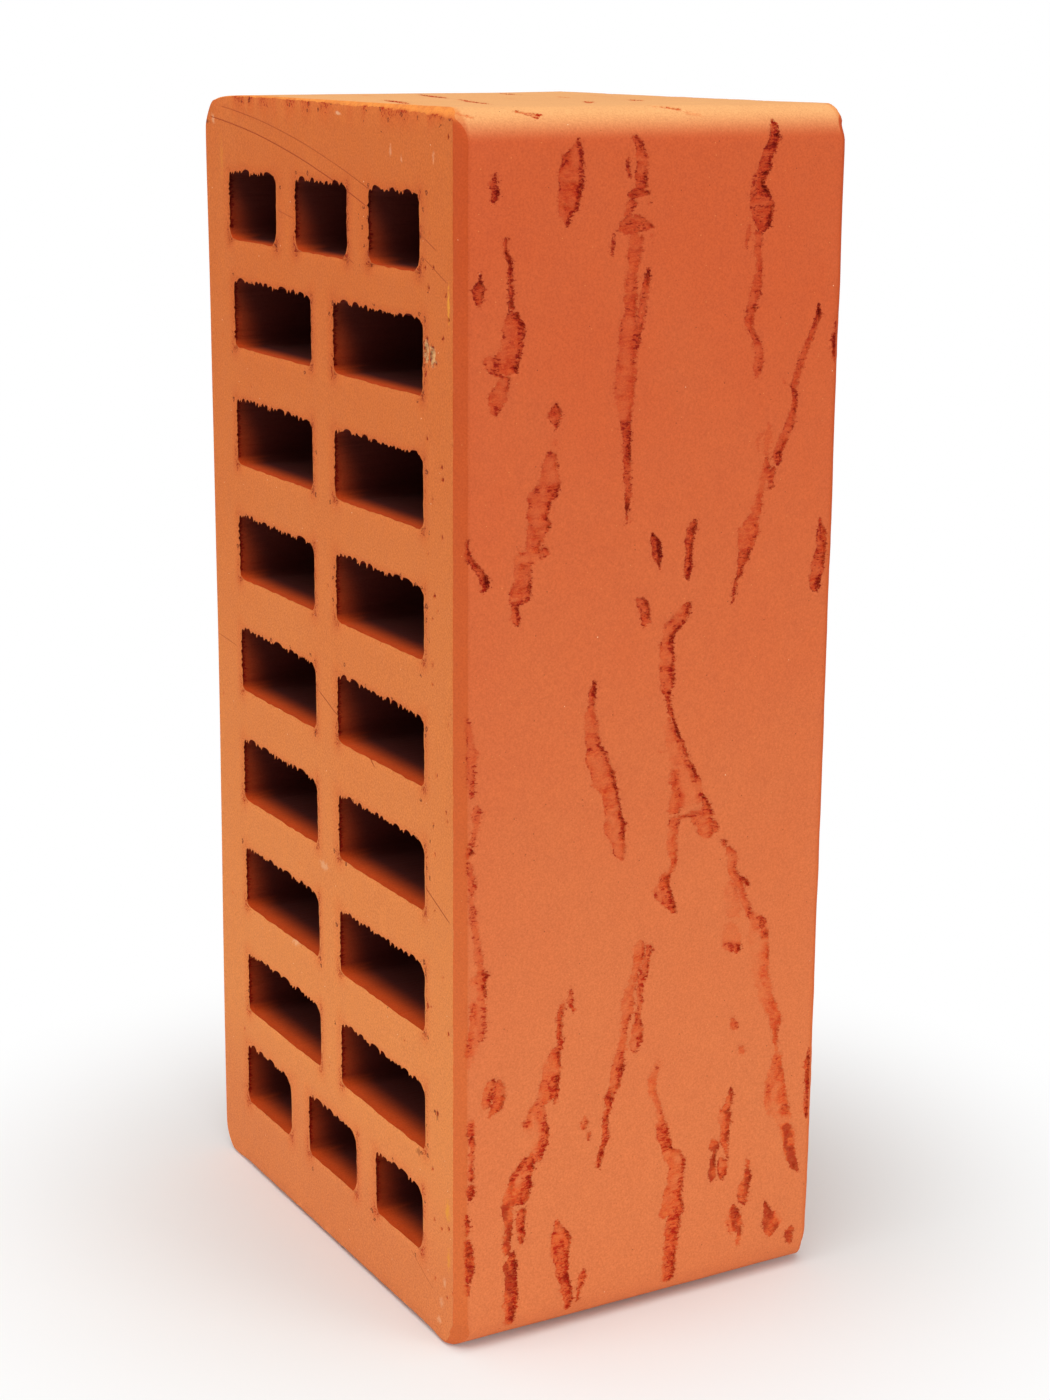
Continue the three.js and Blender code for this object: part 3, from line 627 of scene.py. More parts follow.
def lay_tear(skin, kind, along, left, right, seed):
    """Tears the skin off between two edges, given as rows of s and X. The floor falls towards the right
    edge, where most of the small dark holes lie over a band of painted shade. torn is 1 inside the edges,
    tear is how dark the clay is, that painted shade included, and pit is how closely the holes lie: those
    two run on past the edges, where torn ends them."""
    rows = np.arange(math.floor(along[0] / SKIN_STEP) - 1, math.ceil(along[-1] / SKIN_STEP) + 2)
    s = rows * SKIN_STEP
    low, high = np.interp(s, along, left), np.interp(s, along, right)
    narrow = np.clip((2.2 - (high - low)) / 1.4, 0, 1)[:, None]
    loose = np.clip((high - low) / 1.8, 0.25, 1)
    low += loose * (0.28 * noise_1d(s, 2.1, seed) + 0.22 * noise_1d(s, 0.8, seed + 1))
    bites = np.abs(noise_1d(s, 0.5, seed + 3)) * (0.5 + 0.5 * noise_1d(s, 3.1, seed + 9))
    high += loose * (0.28 * noise_1d(s, 2.4, seed + 2) + 0.40 * bites)
    first, last = np.searchsorted(skin["x"][SKIN_NODES // 8], (low.min() - 1.0, high.max() + 1.0))
    window = np.ix_(rows % SKIN_NODES, np.arange(first, min(last + 1, SKIN_ACROSS)))
    x = skin["x"][window]
    s = s[:, None] + 0 * x
    from_left, from_right = x - low[:, None], high[:, None] - x
    share = np.clip(from_left / np.maximum(high - low, 0.2)[:, None], 0, 1)
    blunt = 0.40 * noise_1d(x, 0.8, seed + 12) - 0.45 * loose[:, None] * (2 * share - 1) ** 4
    ends = step(-0.3, 0.4, np.minimum(s - along[0], along[-1] - s) + blunt)
    torn = step(-0.48, 0.44, from_left) * step(-0.48, 0.42, from_right) * ends
    around = step(-1.2, -0.7, np.minimum(from_left, from_right))
    wall = step(-0.05, 0.45, from_left) * step(-0.05, 0.30, from_right) * ends
    # Folds run across the tear, and patches of the skin are left in it.
    bowed = s + 0.45 * (2 * share - 1) ** 2 + 0.35 * noise_1d(x, 1.1, seed + 4)
    folds = noise_2d(bowed, x, 0.72, 2.1, seed + 5)
    patches = noise_2d(s, x, 2.6, 1.5, seed + 10)
    islands = noise_2d(s, x, 1.2, 1.0, seed + 15)
    depth = kind["depth"] * wall * (0.46 + 0.36 * share + 0.42 * folds + 0.24 * patches)
    # How closely dark holes lie: most along the right edge, in groups over a band of painted shade, and then
    # along the left edge.
    reach = 0.95 + 0.50 * noise_1d(s, 2.6, seed + 11)
    beat = np.sin(2 * math.pi * s / 0.93 + 3.2 * noise_1d(s, 1.9, seed + 6))
    groups = step(-0.5, 0.3, noise_1d(s, 3.3, seed + 7))
    right_holes_and_shade = step(reach + 0.35, reach - 0.35, from_right) * (0.36 + (0.22 + 0.10 * beat) * groups)
    stretches = step(-0.1, 0.5, noise_1d(s, 1.4, seed + 8))
    left_band = np.exp(-(((from_left - 0.16) / 0.34) ** 2)) * (0.22 + 0.44 * stretches)
    floor = 0.62 * step(0.05, 0.75, islands) * step(-0.5, 0.3, patches)
    fill = kind["fill"] + 0.30 * narrow * (kind is TORN)
    holes = kind["pits"] * np.maximum.reduce([right_holes_and_shade, left_band, floor, fill + 0 * x])
    # The clay also darkens towards the right edge: painted shade of the wall there.
    tone = kind["tone"] * (0.60 + 0.36 * patches + 0.36 * folds + 0.36 * right_holes_and_shade)
    # Nothing is torn where the blade has been.
    clear = step(-0.05, 0.25, np.minimum(x - skin["x"][window[0], 0], skin["x"][window[0], -1] - x))
    for field, value in (("depth", depth * clear), ("torn", torn), ("tear", tone * around),
                         ("pit", holes * around)):
        skin[field][window] = np.maximum(skin[field][window], value)


def streak_rows(points, width):
    """Rows of s and X for a streak along the upper header, pointed at both ends."""
    s = np.array([UPPER_HEADER_S + (BACK_Y - DIE_RADIUS) - y for _, y in points])
    x = np.array([x for x, _ in points])
    along = np.linspace(s[0], s[-1], 9)
    middle = np.interp(along, s, x)
    half = width / 2 * np.sin(np.linspace(0.12, math.pi - 0.12, 9)) ** 0.6
    return along, middle - half, middle + half


SEEDS = 20  # between one tear's noise and the next one's


def tear_skin(skin):
    seed = 100
    for kind, rows in STRETCHER_TEARS:
        height, left, right = (np.array(column) for column in zip(*rows))
        lay_tear(skin, kind, FACE_TOP - height, left, right, seed)
        seed += SEEDS
    for kind, width, points in HEADER_STREAKS:
        lay_tear(skin, kind, *streak_rows(points, width), seed)
        seed += SEEDS
    # The header that it stands on is torn like the others.
    dice = np.random.default_rng(31)
    for _ in range(13):
        middle = dice.uniform(-38, 38)
        start = LOWER_HEADER_S + dice.uniform(-2, HEADER_FLAT - 18)
        run, width = dice.uniform(7, 24), dice.uniform(0.9, 2.4)
        along = np.linspace(start, start + run, 8)
        bend = middle + 1.2 * noise_1d(along, 7.0, seed + 9)
        half = width / 2 * np.sin(np.linspace(0.15, math.pi - 0.15, 8)) ** 0.7
        lay_tear(skin, (TORN, SKIN_OFF)[seed // SEEDS % 2], along, bend - half, bend + half, seed)
        seed += SEEDS


def roughen_skin(skin):
    """Waves of the die skin, left on every side, and grit that the die has dragged."""
    s = skin["s"][:, None] + 0 * skin["x"]
    turn = round(ROUND / 14)
    broad = 0.5 + 0.5 * noise_2d(s, skin["x"], ROUND / turn, 17.0, 71, turn)
    turn = round(ROUND / 5)
    small = 0.5 + 0.5 * noise_2d(s, skin["x"], ROUND / turn, 8.0, 72, turn)
    skin["depth"] += 0.16 * broad + 0.05 * small
    # Drying has left the lower header and the plain stretcher hollow, and one corner low.
    _, z, ny, nz = die_section(skin["s"])
    droop = np.maximum(nz, 0) * np.exp(-np.maximum(BACK_Y - DIE_RADIUS - skin["y"], 0) / DROOP_REACH)
    skin["depth"] += droop[:, None] * np.linspace(*BACK_DROOP, SKIN_ACROSS)
    corner = np.exp(-(((skin["s"] - UPPER_HEADER_S + ARC / 2) / 4.5) ** 2))
    skin["depth"] += BACK_ROUNDER * corner[:, None] * np.linspace(1, 0, SKIN_ACROSS)
    flat = step(0, 7.0, HEADER_FLAT / 2 - np.abs(skin["y"]))
    skin["depth"] += FOOT_HOLLOW * (flat * (skin["z"] < 1))[:, None]
    bow = np.maximum(ny, 0) ** 2 * (step(10, 130, z) - 0.2 * step(200, 250, z))
    skin["depth"] += BACK_BOW * bow[:, None]


# ---------------------------------------------------------------------------------------------
# Cells that halve where the relief needs it. Neighbours differ by one halving at most.
# ---------------------------------------------------------------------------------------------

LEVELS = 5
# How far a flat cell may miss the relief, on each level but the finest, coarse first.
SKIN_TOLERANCE = (0.12, 0.13, 0.16, 0.22)
BED_TOLERANCE = (0.10, 0.11, 0.14, 0.18)


def cell_nodes(nodes, size, wrap):
    """Nodes of every square cell with that many lattice steps."""
    if wrap:
        nodes = np.concatenate([nodes, nodes[:1]])
    rows, columns = (nodes.shape[0] - 1) // size, (nodes.shape[1] - 1) // size
    row = np.arange(rows)[:, None] * size + np.arange(size + 1)
    column = np.arange(columns)[:, None] * size + np.arange(size + 1)
    return nodes[row[:, None, :, None], column[None, :, None, :]]


def spread(marks, wrap):
    """Marks the four neighbours of marked cells too."""
    out = marks.copy()
    out[1:] |= marks[:-1]
    out[:-1] |= marks[1:]
    out[:, 1:] |= marks[:, :-1]
    out[:, :-1] |= marks[:, 1:]
    if wrap:
        out[0] |= marks[-1]
        out[-1] |= marks[0]
    return out


def halved(marks):
    return marks.reshape(marks.shape[0] // 2, 2, marks.shape[1] // 2, 2).any(axis=(1, 3))


def doubled(marks):
    return marks.repeat(2, axis=0).repeat(2, axis=1)


def split_cells(relief, largest, spacing, tolerance, wrap):
    """For each level, coarse first, which cells are split: where a flat cell would miss the relief by
    more than the tolerance, or is wider than the largest cell wanted there."""
    splits = []
    for level in range(LEVELS - 1):
        size = FINE >> level
        cells = cell_nodes(relief, size, wrap)
        part = np.linspace(0, 1, size + 1)
        u, v = part[:, None], part[None, :]
        corner = [cells[:, :, i, j][:, :, None, None] for i in (0, size) for j in (0, size)]
        patch = (corner[0] * (1 - u) * (1 - v) + corner[1] * (1 - u) * v
                 + corner[2] * u * (1 - v) + corner[3] * u * v)
        miss = np.abs(cells - patch).max(axis=(2, 3))
        wide = cell_nodes(largest, size, wrap).min(axis=(2, 3)) < size * spacing * 0.99
        splits.append((miss > tolerance[level]) | wide)
    for level in range(LEVELS - 2, 0, -1):
        splits[level - 1] |= halved(spread(splits[level], wrap))
    return splits


def leaf_cells(splits, wrap):
    """Each level's whole cells: lattice steps across, first rows and columns, and for each of the four
    sides whether the neighbour there is finer."""
    exists = np.ones_like(splits[0])
    for level in range(LEVELS):
        size = FINE >> level
        split = splits[level] if level < LEVELS - 1 else np.zeros_like(exists)
        row, column = np.nonzero(exists & ~split)
        padded = np.pad(split, 1, mode="constant")
        if wrap:
            padded[0, 1:-1], padded[-1, 1:-1] = split[-1], split[0]
        # In the order of the cell's corners: lower column, upper row, upper column, lower row.
        finer = [padded[row + 1, column], padded[row + 2, column + 1],
                 padded[row + 1, column + 2], padded[row, column + 1]]
        yield size, row * size, column * size, finer
        exists = doubled(split)


# ---------------------------------------------------------------------------------------------
# The mesh as it grows: points with their attributes, and faces with their kind and their chart
# ---------------------------------------------------------------------------------------------

SKIN, BED, CUT, CORE = range(4)

# The square sheet that every face is laid out on, and where the parts lie there, in millimetres.
SHEET = 440.0
STRETCHERS_TOP, TEXTURED_LEFT, PLAIN_LEFT = 245.0, 292.0, 386.0
HEADERS_MIDDLE, LOWER_HEADER_LEFT, UPPER_HEADER_LEFT = 302.0, 9.0, 131.0
BEDS_LOW, NEAR_BED_MIDDLE, FAR_BED_MIDDLE = 1.0, 61.0, 184.0


class Clay:
    def __init__(self):
        self.points = []
        self.fields = {name: [] for name in ("torn", "tear", "pit", "core_depth")}
        self.count = 0
        self.faces = []

    def add_points(self, x, y, z, **values):
        """Indices of new points. core_depth is how far into a core's painted shade they lie."""
        points = np.stack(np.broadcast_arrays(x, y, z), axis=-1).reshape(-1, 3)
        self.points.append(points)
        for name, store in self.fields.items():
            store.append(np.broadcast_to(np.asarray(values.get(name, 0.0), float), (len(points),)))
        index = np.arange(self.count, self.count + len(points))
        self.count += len(points)
        return index

    def add_faces(self, corners, kind, chart):
        """Faces, one row each, and where each corner lies on the sheet, in millimetres."""
        if len(corners):
            self.faces.append((np.asarray(corners), kind, np.asarray(chart)))


def skin_chart(s, across):
    """Where corners of skin faces lie on the sheet. s is unrolled, and across is X unrolled."""
    middle = s.mean(axis=1, keepdims=True) + 0 * s
    chart = np.zeros(s.shape + (2,))
    edge = ARC / 2
    on_stretcher = middle < STRETCHER_FLAT + edge
    on_lower = ~on_stretcher & (middle < BACK_S - edge)
    on_back = ~on_stretcher & ~on_lower & (middle < BACK_S + STRETCHER_FLAT + edge)
    on_upper = ~on_stretcher & ~on_lower & ~on_back
    for marks, start, left in ((on_stretcher, 0.0, TEXTURED_LEFT), (on_back, BACK_S, PLAIN_LEFT)):
        chart[marks, 0] = left + across[marks]
        chart[marks, 1] = STRETCHERS_TOP - (s[marks] - start)
    for marks, start, left in ((on_lower, LOWER_HEADER_S, LOWER_HEADER_LEFT),
                               (on_upper, UPPER_HEADER_S, UPPER_HEADER_LEFT)):
        chart[marks, 0] = left + (s[marks] - start)
        chart[marks, 1] = HEADERS_MIDDLE + across[marks]
    return chart


def wrapped(s, like):
    """s, moved by whole rounds to lie next to another value, with the corner above the textured
    stretcher counted below 0."""
    s = s + ROUND * np.round((like - s) / ROUND)
    return np.where(like > ROUND - ARC / 2, s - ROUND, s)


def build_skin(clay, skin):
    """The die skin, and for each bed the points of its border in the order of s."""
    depth = skin["depth"]
    y, z, ny, nz = die_section(skin["s"])
    on_arc = (np.abs(ny) > 1e-6) & (np.abs(nz) > 1e-6)
    largest = np.full_like(depth, 4.0)
    largest[on_arc] = 1.0
    for side, columns in ((NEAR, slice(0, 3)), (FAR, slice(-3, None))):
        ragged = (skin["cuts"][side] > 0.02) & (np.abs(nz) > 0.3)
        largest[np.nonzero(ragged)[0][:, None], np.arange(SKIN_ACROSS)[columns]] = 0.5
    look = depth + 0.18 * skin["torn"] + 0.08 * skin["pit"]
    # The header that it stands on is rarely seen.
    look[np.nonzero(nz < -0.9)[0]] *= 0.5
    splits = split_cells(look, largest, SKIN_STEP, SKIN_TOLERANCE, True)
    index = np.full((SKIN_NODES, SKIN_ACROSS), -1)
    quads, triangles = [], []
    for size, row, column, finer in leaf_cells(splits, True):
        corner = [(row, column), (row + size, column), (row + size, column + size), (row, column + size)]
        plain = ~np.logical_or.reduce(finer)
        quads.append(np.array([[i[plain], j[plain]] for i, j in corner]).transpose(2, 0, 1))
        centre = (row + size // 2, column + size // 2)
        for side in range(4):
            a, b = corner[side], corner[(side + 1) % 4]
            middle = ((a[0] + b[0]) // 2, (a[1] + b[1]) // 2)
            for marks, start, end in ((~plain & ~finer[side], a, b), (~plain & finer[side], a, middle),
                                      (~plain & finer[side], middle, b)):
                triangles.append(np.array([[i[marks], j[marks]] for i, j in (centre, start, end)])
                                 .transpose(2, 0, 1))
    groups = [np.concatenate(quads), np.concatenate(triangles)]
    for nodes in groups:
        index[nodes[..., 0] % SKIN_NODES, nodes[..., 1]] = 0
    used = np.nonzero(index == 0)
    row = used[0]
    points = clay.add_points(skin["x"][used], y[row] - ny[row] * depth[used], z[row] - nz[row] * depth[used],
                             torn=skin["torn"][used], tear=skin["tear"][used], pit=skin["pit"][used])
    index[used] = points
    for nodes in groups:
        rows = nodes[..., 0]
        s = wrapped(rows * SKIN_STEP, rows[:, :1] * SKIN_STEP)
        clay.add_faces(index[rows % SKIN_NODES, nodes[..., 1]], SKIN,
                       skin_chart(s, skin["x"][rows % SKIN_NODES, nodes[..., 1]]))
    borders = []
    for side, column in ((NEAR, 0), (FAR, SKIN_ACROSS - 1)):
        rows = np.nonzero(index[:, column] >= 0)[0]
        borders.append(build_strip(clay, skin, side, rows, index[rows, column], depth[rows, column]))
    return borders


def build_strip(clay, skin, side, rows, skin_points, depth):
    """The blade's cut between the skin and one bed. Returns the bed's border: points, Y and Z."""
    s = skin["s"][rows]
    y, z, ny, nz = die_section(s)
    cut = skin["cuts"][side][rows]
    cuts = cut > 0.03
    face_cut = np.abs(ny) > np.abs(nz)
    rubbed = rubbed_off(y, z, side)
    y, z = y - ny * depth, z - nz * depth
    bed_y = np.where(cuts, y - ny * rubbed + np.where(face_cut, cut - rubbed, 0), y)
    bed_z = np.where(cuts, z - nz * rubbed - np.where(face_cut, 0, np.sign(nz) * (cut - rubbed)), z)
    out = -1 if side == NEAR else 1
    sign = -out
    bed_x = out * HALF_HEIGHT
    skin_x = bed_x + sign * cut
    slope = math.sqrt(2) * cut
    bed_points, middle_points = skin_points.copy(), skin_points.copy()
    # The middle row stands a little proud, so that the cut is soft on the skin's side.
    share, proud = 0.36, 0.07
    mid_x = skin_x + (bed_x - skin_x) * (share + proud)
    mid_y = y + (bed_y - y) * (share - proud)
    mid_z = z + (bed_z - z) * (share - proud)
    rough = 0.05 * noise_1d(s, 0.8, 41 + side) * np.minimum(cut, 1)
    crumbs = np.where(face_cut | (z < LENGTH / 2), 0, 0.55 * step(0.0, 0.5, noise_1d(y, 2.4, 45 + side)))
    middle_points[cuts] = clay.add_points((mid_x - out * rough)[cuts], mid_y[cuts], mid_z[cuts])
    bed_points[cuts] = clay.add_points(np.full(cuts.sum(), bed_x), bed_y[cuts], bed_z[cuts], torn=1.0,
                                       pit=crumbs[cuts])
    across = [skin_x, skin_x + out * slope * share, skin_x + out * slope]
    levels = [skin_points, middle_points, bed_points]
    ahead = np.roll(np.arange(len(rows)), -1)
    for k in range(2):
        upper, lower = levels[k], levels[k + 1]
        same_here = upper == lower
        same_ahead = same_here[ahead]
        here = np.arange(len(rows))
        for marks, corners in (
                (~same_here & ~same_ahead, [(k, ahead), (k, here), (k + 1, here), (k + 1, ahead)]),
                (same_here & ~same_ahead, [(k, ahead), (k, here), (k + 1, ahead)]),
                (~same_here & same_ahead, [(k, ahead), (k, here), (k + 1, here)])):
            if side == FAR:
                corners = corners[::-1]
            face = np.stack([levels[row][at][marks] for row, at in corners], axis=1)
            face_s = np.stack([s[at][marks] for _, at in corners], axis=1)
            face_s = wrapped(face_s, face_s[:, :1])
            chart = skin_chart(face_s, np.stack([across[row][at][marks] for row, at in corners], axis=1))
            clay.add_faces(face, CUT, chart)
    return bed_points, bed_y, bed_z


# ---------------------------------------------------------------------------------------------
# Cores
# ---------------------------------------------------------------------------------------------


def core_places():
    """Y from and to, and Z from and to, of all twenty cores, as the CAD source lays them out."""
    width = (WIDTH - 2 * SIDE_WALL - CENTRE_WEB) / 2
    first = END_WALL + CORE_THICKNESS + END_RIB
    pitch = (LENGTH - 2 * first - CORE_THICKNESS) / (FULL_ROWS - 1)
    places = []
    for row in range(FULL_ROWS):
        for y in (FACE_Y + SIDE_WALL, CENTRE_WEB / 2):
            places.append((y, y + width, first + row * pitch))
    width = (WIDTH - END_FACE_WALL - END_BACK_WALL - (END_CORES - 1) * END_WEB + FACE_CORE_LESS) / END_CORES
    for z in (END_WALL, LENGTH - END_WALL - CORE_THICKNESS):
        y = FACE_Y + END_FACE_WALL
        for i in range(END_CORES):
            end = y + width - (FACE_CORE_LESS if i == 0 else 0)
            places.append((y, end, z))
            y = end + END_WEB
    return [(y0, y1, z, z + CORE_THICKNESS) for y0, y1, z in places]


# Radius of a core's corners: both lower ones (of a wide core and of a small one), the upper one at
# the back side, and the upper one at the face side (in the lowest row and in the highest).
LOWER_RADIUS, UPPER_BACK_RADIUS, UPPER_FACE_RADIUS = (1.8, 2.9), 1.8, (3.2, 1.3)
# Distance between points along the lower edge, the back side, the upper edge and the face side.
EDGE_SPACING = (1.7, 0.52, 0.50, 1.2)
# Rings of points from a core's mouth inwards: how deep each is, its share of the mouth's raggedness, how
# far it lies behind the lip, and how closely dark holes lie there, which paint the shadow under the lip.
RING_DEPTHS = (0.0, 0.6, 2.0, 16.0)
RAGGED_SHARE = (1.0, 0.8, 0.0, 0.0)
RECESS = (0.0, 0.30, 0.0, 0.0)
SHADOW = (0.42, 0.85, 0.0, 0.0)


def core_section(place):
    """Points round a core, against the clock from its lower edge: Y, Z, the way out of the core, which
    edge each is on (a corner counts with the edge before it), and how far along the way round."""
    y0, y1, z0, z1 = place
    lower = LOWER_RADIUS[y1 - y0 < 30]
    upper = UPPER_FACE_RADIUS[0] + (UPPER_FACE_RADIUS[1] - UPPER_FACE_RADIUS[0]) * z0 / LENGTH
    r = (lower, lower, UPPER_BACK_RADIUS, upper)
    edges = [((y0 + r[0], z0), (y1 - r[1], z0)), ((y1, z0 + r[1]), (y1, z1 - r[2])),
             ((y1 - r[2], z1), (y0 + r[3], z1)), ((y0, z1 - r[3]), (y0, z0 + r[0]))]
    centres = [(y1 - r[1], z0 + r[1]), (y1 - r[2], z1 - r[2]), (y0 + r[3], z1 - r[3]), (y0 + r[0], z0 + r[0])]
    corner_radii = (r[1], r[2], r[3], r[0])
    rows = []
    for edge, (start, end) in enumerate(edges):
        outward = -math.pi / 2 + edge * math.pi / 2
        run = math.dist(start, end)
        count = max(2, round(run / EDGE_SPACING[edge]))
        for i in range(count):
            t = i / count
            rows.append((start[0] + (end[0] - start[0]) * t, start[1] + (end[1] - start[1]) * t,
                         outward, edge, t * run))
        count = 4 if edge in (1, 2) else 3
        for i in range(count):
            turn = outward + math.pi / 2 * i / count
            rows.append((centres[edge][0] + corner_radii[edge] * math.cos(turn),
                         centres[edge][1] + corner_radii[edge] * math.sin(turn), turn, edge, -1.0))
    y, z, turn, edge, along = (np.array(column, float) for column in zip(*rows))
    lengths = np.hypot(np.roll(y, -1) - y, np.roll(z, -1) - z)
    way = np.concatenate([[0.0], np.cumsum(lengths)])
    return y, z, np.cos(turn), np.sin(turn), edge.astype(int), along, way


def mouth_offset(section, seed):
    """How far the clay has been torn back (or, below 0, hangs over) at each point of a core's mouth."""
    *_, edge, along, way = section
    dice = np.random.default_rng(seed)
    offset = 0.05 * noise_1d(way[:-1], 3.0, seed)
    # The upper edge: round bites with sharp tips between them.
    upper = np.nonzero((edge == 2) & (along >= 0))[0]
    end, position = along[upper[-1]] + 1.0, 0.0
    while position < end:
        width = dice.choice([1.2, 1.6, 2.2, 3.2, 4.6], p=[0.30, 0.28, 0.20, 0.14, 0.08])
        width *= dice.uniform(0.85, 1.15)
        height = min(1.0, dice.uniform(0.22, 0.48) * width)
        lean = dice.uniform(-0.25, 0.25)
        part = (along[upper] - position) / width
        bite = (part >= 0) & (part < 1)
        rise = np.clip(1 - (2 * part[bite] - 1 + lean * (1 - (2 * part[bite] - 1) ** 2)) ** 2, 0, 1) ** 0.6
        offset[upper[bite]] += height * rise - 0.30
        # A tip of clay hangs between two bites.
        tip = np.exp(-(((along[upper] - position) / 0.32) ** 2))
        offset[upper] -= dice.uniform(0.0, 0.60) * tip
        position += width
    # The back side: small teeth under a lip.
    back = (edge == 1) & (along >= 0)
    offset[back] = 0.22 * np.sin(2 * math.pi * along[back] / 1.1 + 3 * noise_1d(along[back], 2.5, seed + 2))
    offset[back] += 0.24 * dice.uniform(-1, 1, back.sum()) + 0.12 * noise_1d(along[back], 3.0, seed + 1)
    lower = (edge == 0) & (along >= 0)
    offset[lower] += 0.14 * dice.uniform(-1, 1, lower.sum())
    face = (edge == 3) & (along >= 0)
    offset[face] += 0.10 * dice.uniform(-1, 1, face.sum())
    corners = along < 0
    offset[corners] += 0.06 * dice.uniform(-1, 1, corners.sum())
    return offset


def build_core(clay, place, number):
    """The walls of one core. Returns its two mouths: points, Y and Z."""
    section = core_section(place)
    y, z, oy, oz, edge, _, way = section
    count = len(y)
    lip = np.where(edge == 2, 1.0, np.where(edge == 1, 0.9, 0.15))
    # Little light reaches the upper part of a core, so the painted shade comes nearer the mouth there.
    height = np.clip((z - place[2]) / CORE_THICKNESS, 0, 1)
    wall = step(0, 0.14, height)
    start = -2.0 + wall * (7.1 + (1.0 if place[1] - place[0] < 30 and place[2] > LENGTH / 2 else 0))
    start = start + 4.5 * (place[2] / LENGTH) ** 0.5 * step(0.25, 1.0, height)
    fall = (1 - wall) * (1.85 + 0.65 * (place[2] / LENGTH) ** 2) + 1.15 * wall
    mouths, levels = [], []
    for side in (NEAR, FAR):
        offset = mouth_offset(section, 500 + 20 * number + 7 * side)
        order = []
        for depth, share, recess, shadow in zip(RING_DEPTHS, RAGGED_SHARE, RECESS, SHADOW):
            reach = offset * share + recess * lip
            ring_y, ring_z = y + oy * reach, z + oz * reach
            sink = bed_relief(ring_y, ring_z, side)[0] if depth == 0 else 0
            x = depth + sink - HALF_HEIGHT
            # Dark holes along the lip paint its shadow.
            index = clay.add_points(x if side == NEAR else -x, ring_y, ring_z, torn=1.0,
                                    pit=shadow * lip, core_depth=start + depth * fall)
            order.append((index, depth))
            if depth == 0:
                mouths.append((index, ring_y, ring_z))
        levels.append(order)
    chain = levels[NEAR] + [(index, HEIGHT - depth) for index, depth in reversed(levels[FAR])]
    # Cells of the sheet: three columns beside the headers and four below them.
    if number < 12:
        left, low = 246.0 + 56.5 * (number % 3), 254.0 + 46.0 * (number // 3)
    else:
        left, low = 2.0 + 56.5 * ((number - 12) % 4), 349.0 + 45.5 * ((number - 12) // 4)
    here = np.arange(count)
    ahead = (here + 1) % count
    for (upper, upper_depth), (lower, lower_depth) in zip(chain, chain[1:]):
        face = np.stack([upper[here], lower[here], lower[ahead], upper[ahead]], axis=1)
        u = left + 0.5 * np.stack([way[here], way[here], way[here + 1], way[here + 1]], axis=1)
        v = low + 0.5 * (HEIGHT - np.array([upper_depth, lower_depth, lower_depth, upper_depth]))
        clay.add_faces(face, CORE, np.stack([u, np.broadcast_to(v, u.shape)], axis=-1))
    return mouths


# ---------------------------------------------------------------------------------------------
# Bed faces
# ---------------------------------------------------------------------------------------------

BED_ROWS, BED_COLUMNS = 30, 63
BED_STEP = WIDTH / (BED_ROWS * FINE)
PLACES = core_places()

# Chips beside the textured stretcher, near the top: Y, Z, half width, half height and depth.
CHIPS = [(-46.8, 204.5, 0.8, 1.6, 0.55), (-49.3, 203.8, 0.8, 1.5, 0.5)]
# Deep pits: Y, Z and radius.
DEEP_PITS = [
    (-42.7, 233.4, 0.55), (-47.5, 216.5, 0.5), (-47.0, 206.8, 0.35), (-50.6, 202.6, 0.4),
    (-44.9, 202.9, 0.35), (-50.5, 50.3, 0.6), (-55.5, 244.6, 0.4),
]


def bed_pits():
    """Y, Z, radius and strength of small pits: most lie between the cores and the textured stretcher."""
    dice = np.random.default_rng(61)
    rows = []
    for _ in range(34):
        rows.append((dice.uniform(-57.5, -46.2), dice.uniform(8, 232), dice.uniform(0.25, 0.5), 0.8))
    for _ in range(30):
        rows.append((dice.uniform(-57, 57), dice.uniform(5, 245), dice.uniform(0.22, 0.45), 0.6))
    return rows + [(y, z, radius, 1.0) for y, z, radius in DEEP_PITS]


PITS = bed_pits()


def near_core(y, z, place):
    """Distance outside a core's edge: below it, above it, and beside it on the face and back sides."""
    y0, y1, z0, z1 = place
    beside = np.maximum(np.maximum(y0 - y, y - y1), 0)
    return np.hypot(z0 - z, beside), np.hypot(z - z1, beside), np.hypot(
        np.maximum(y0 - y, y - y1), np.maximum(np.maximum(z0 - z, z - z1), 0))


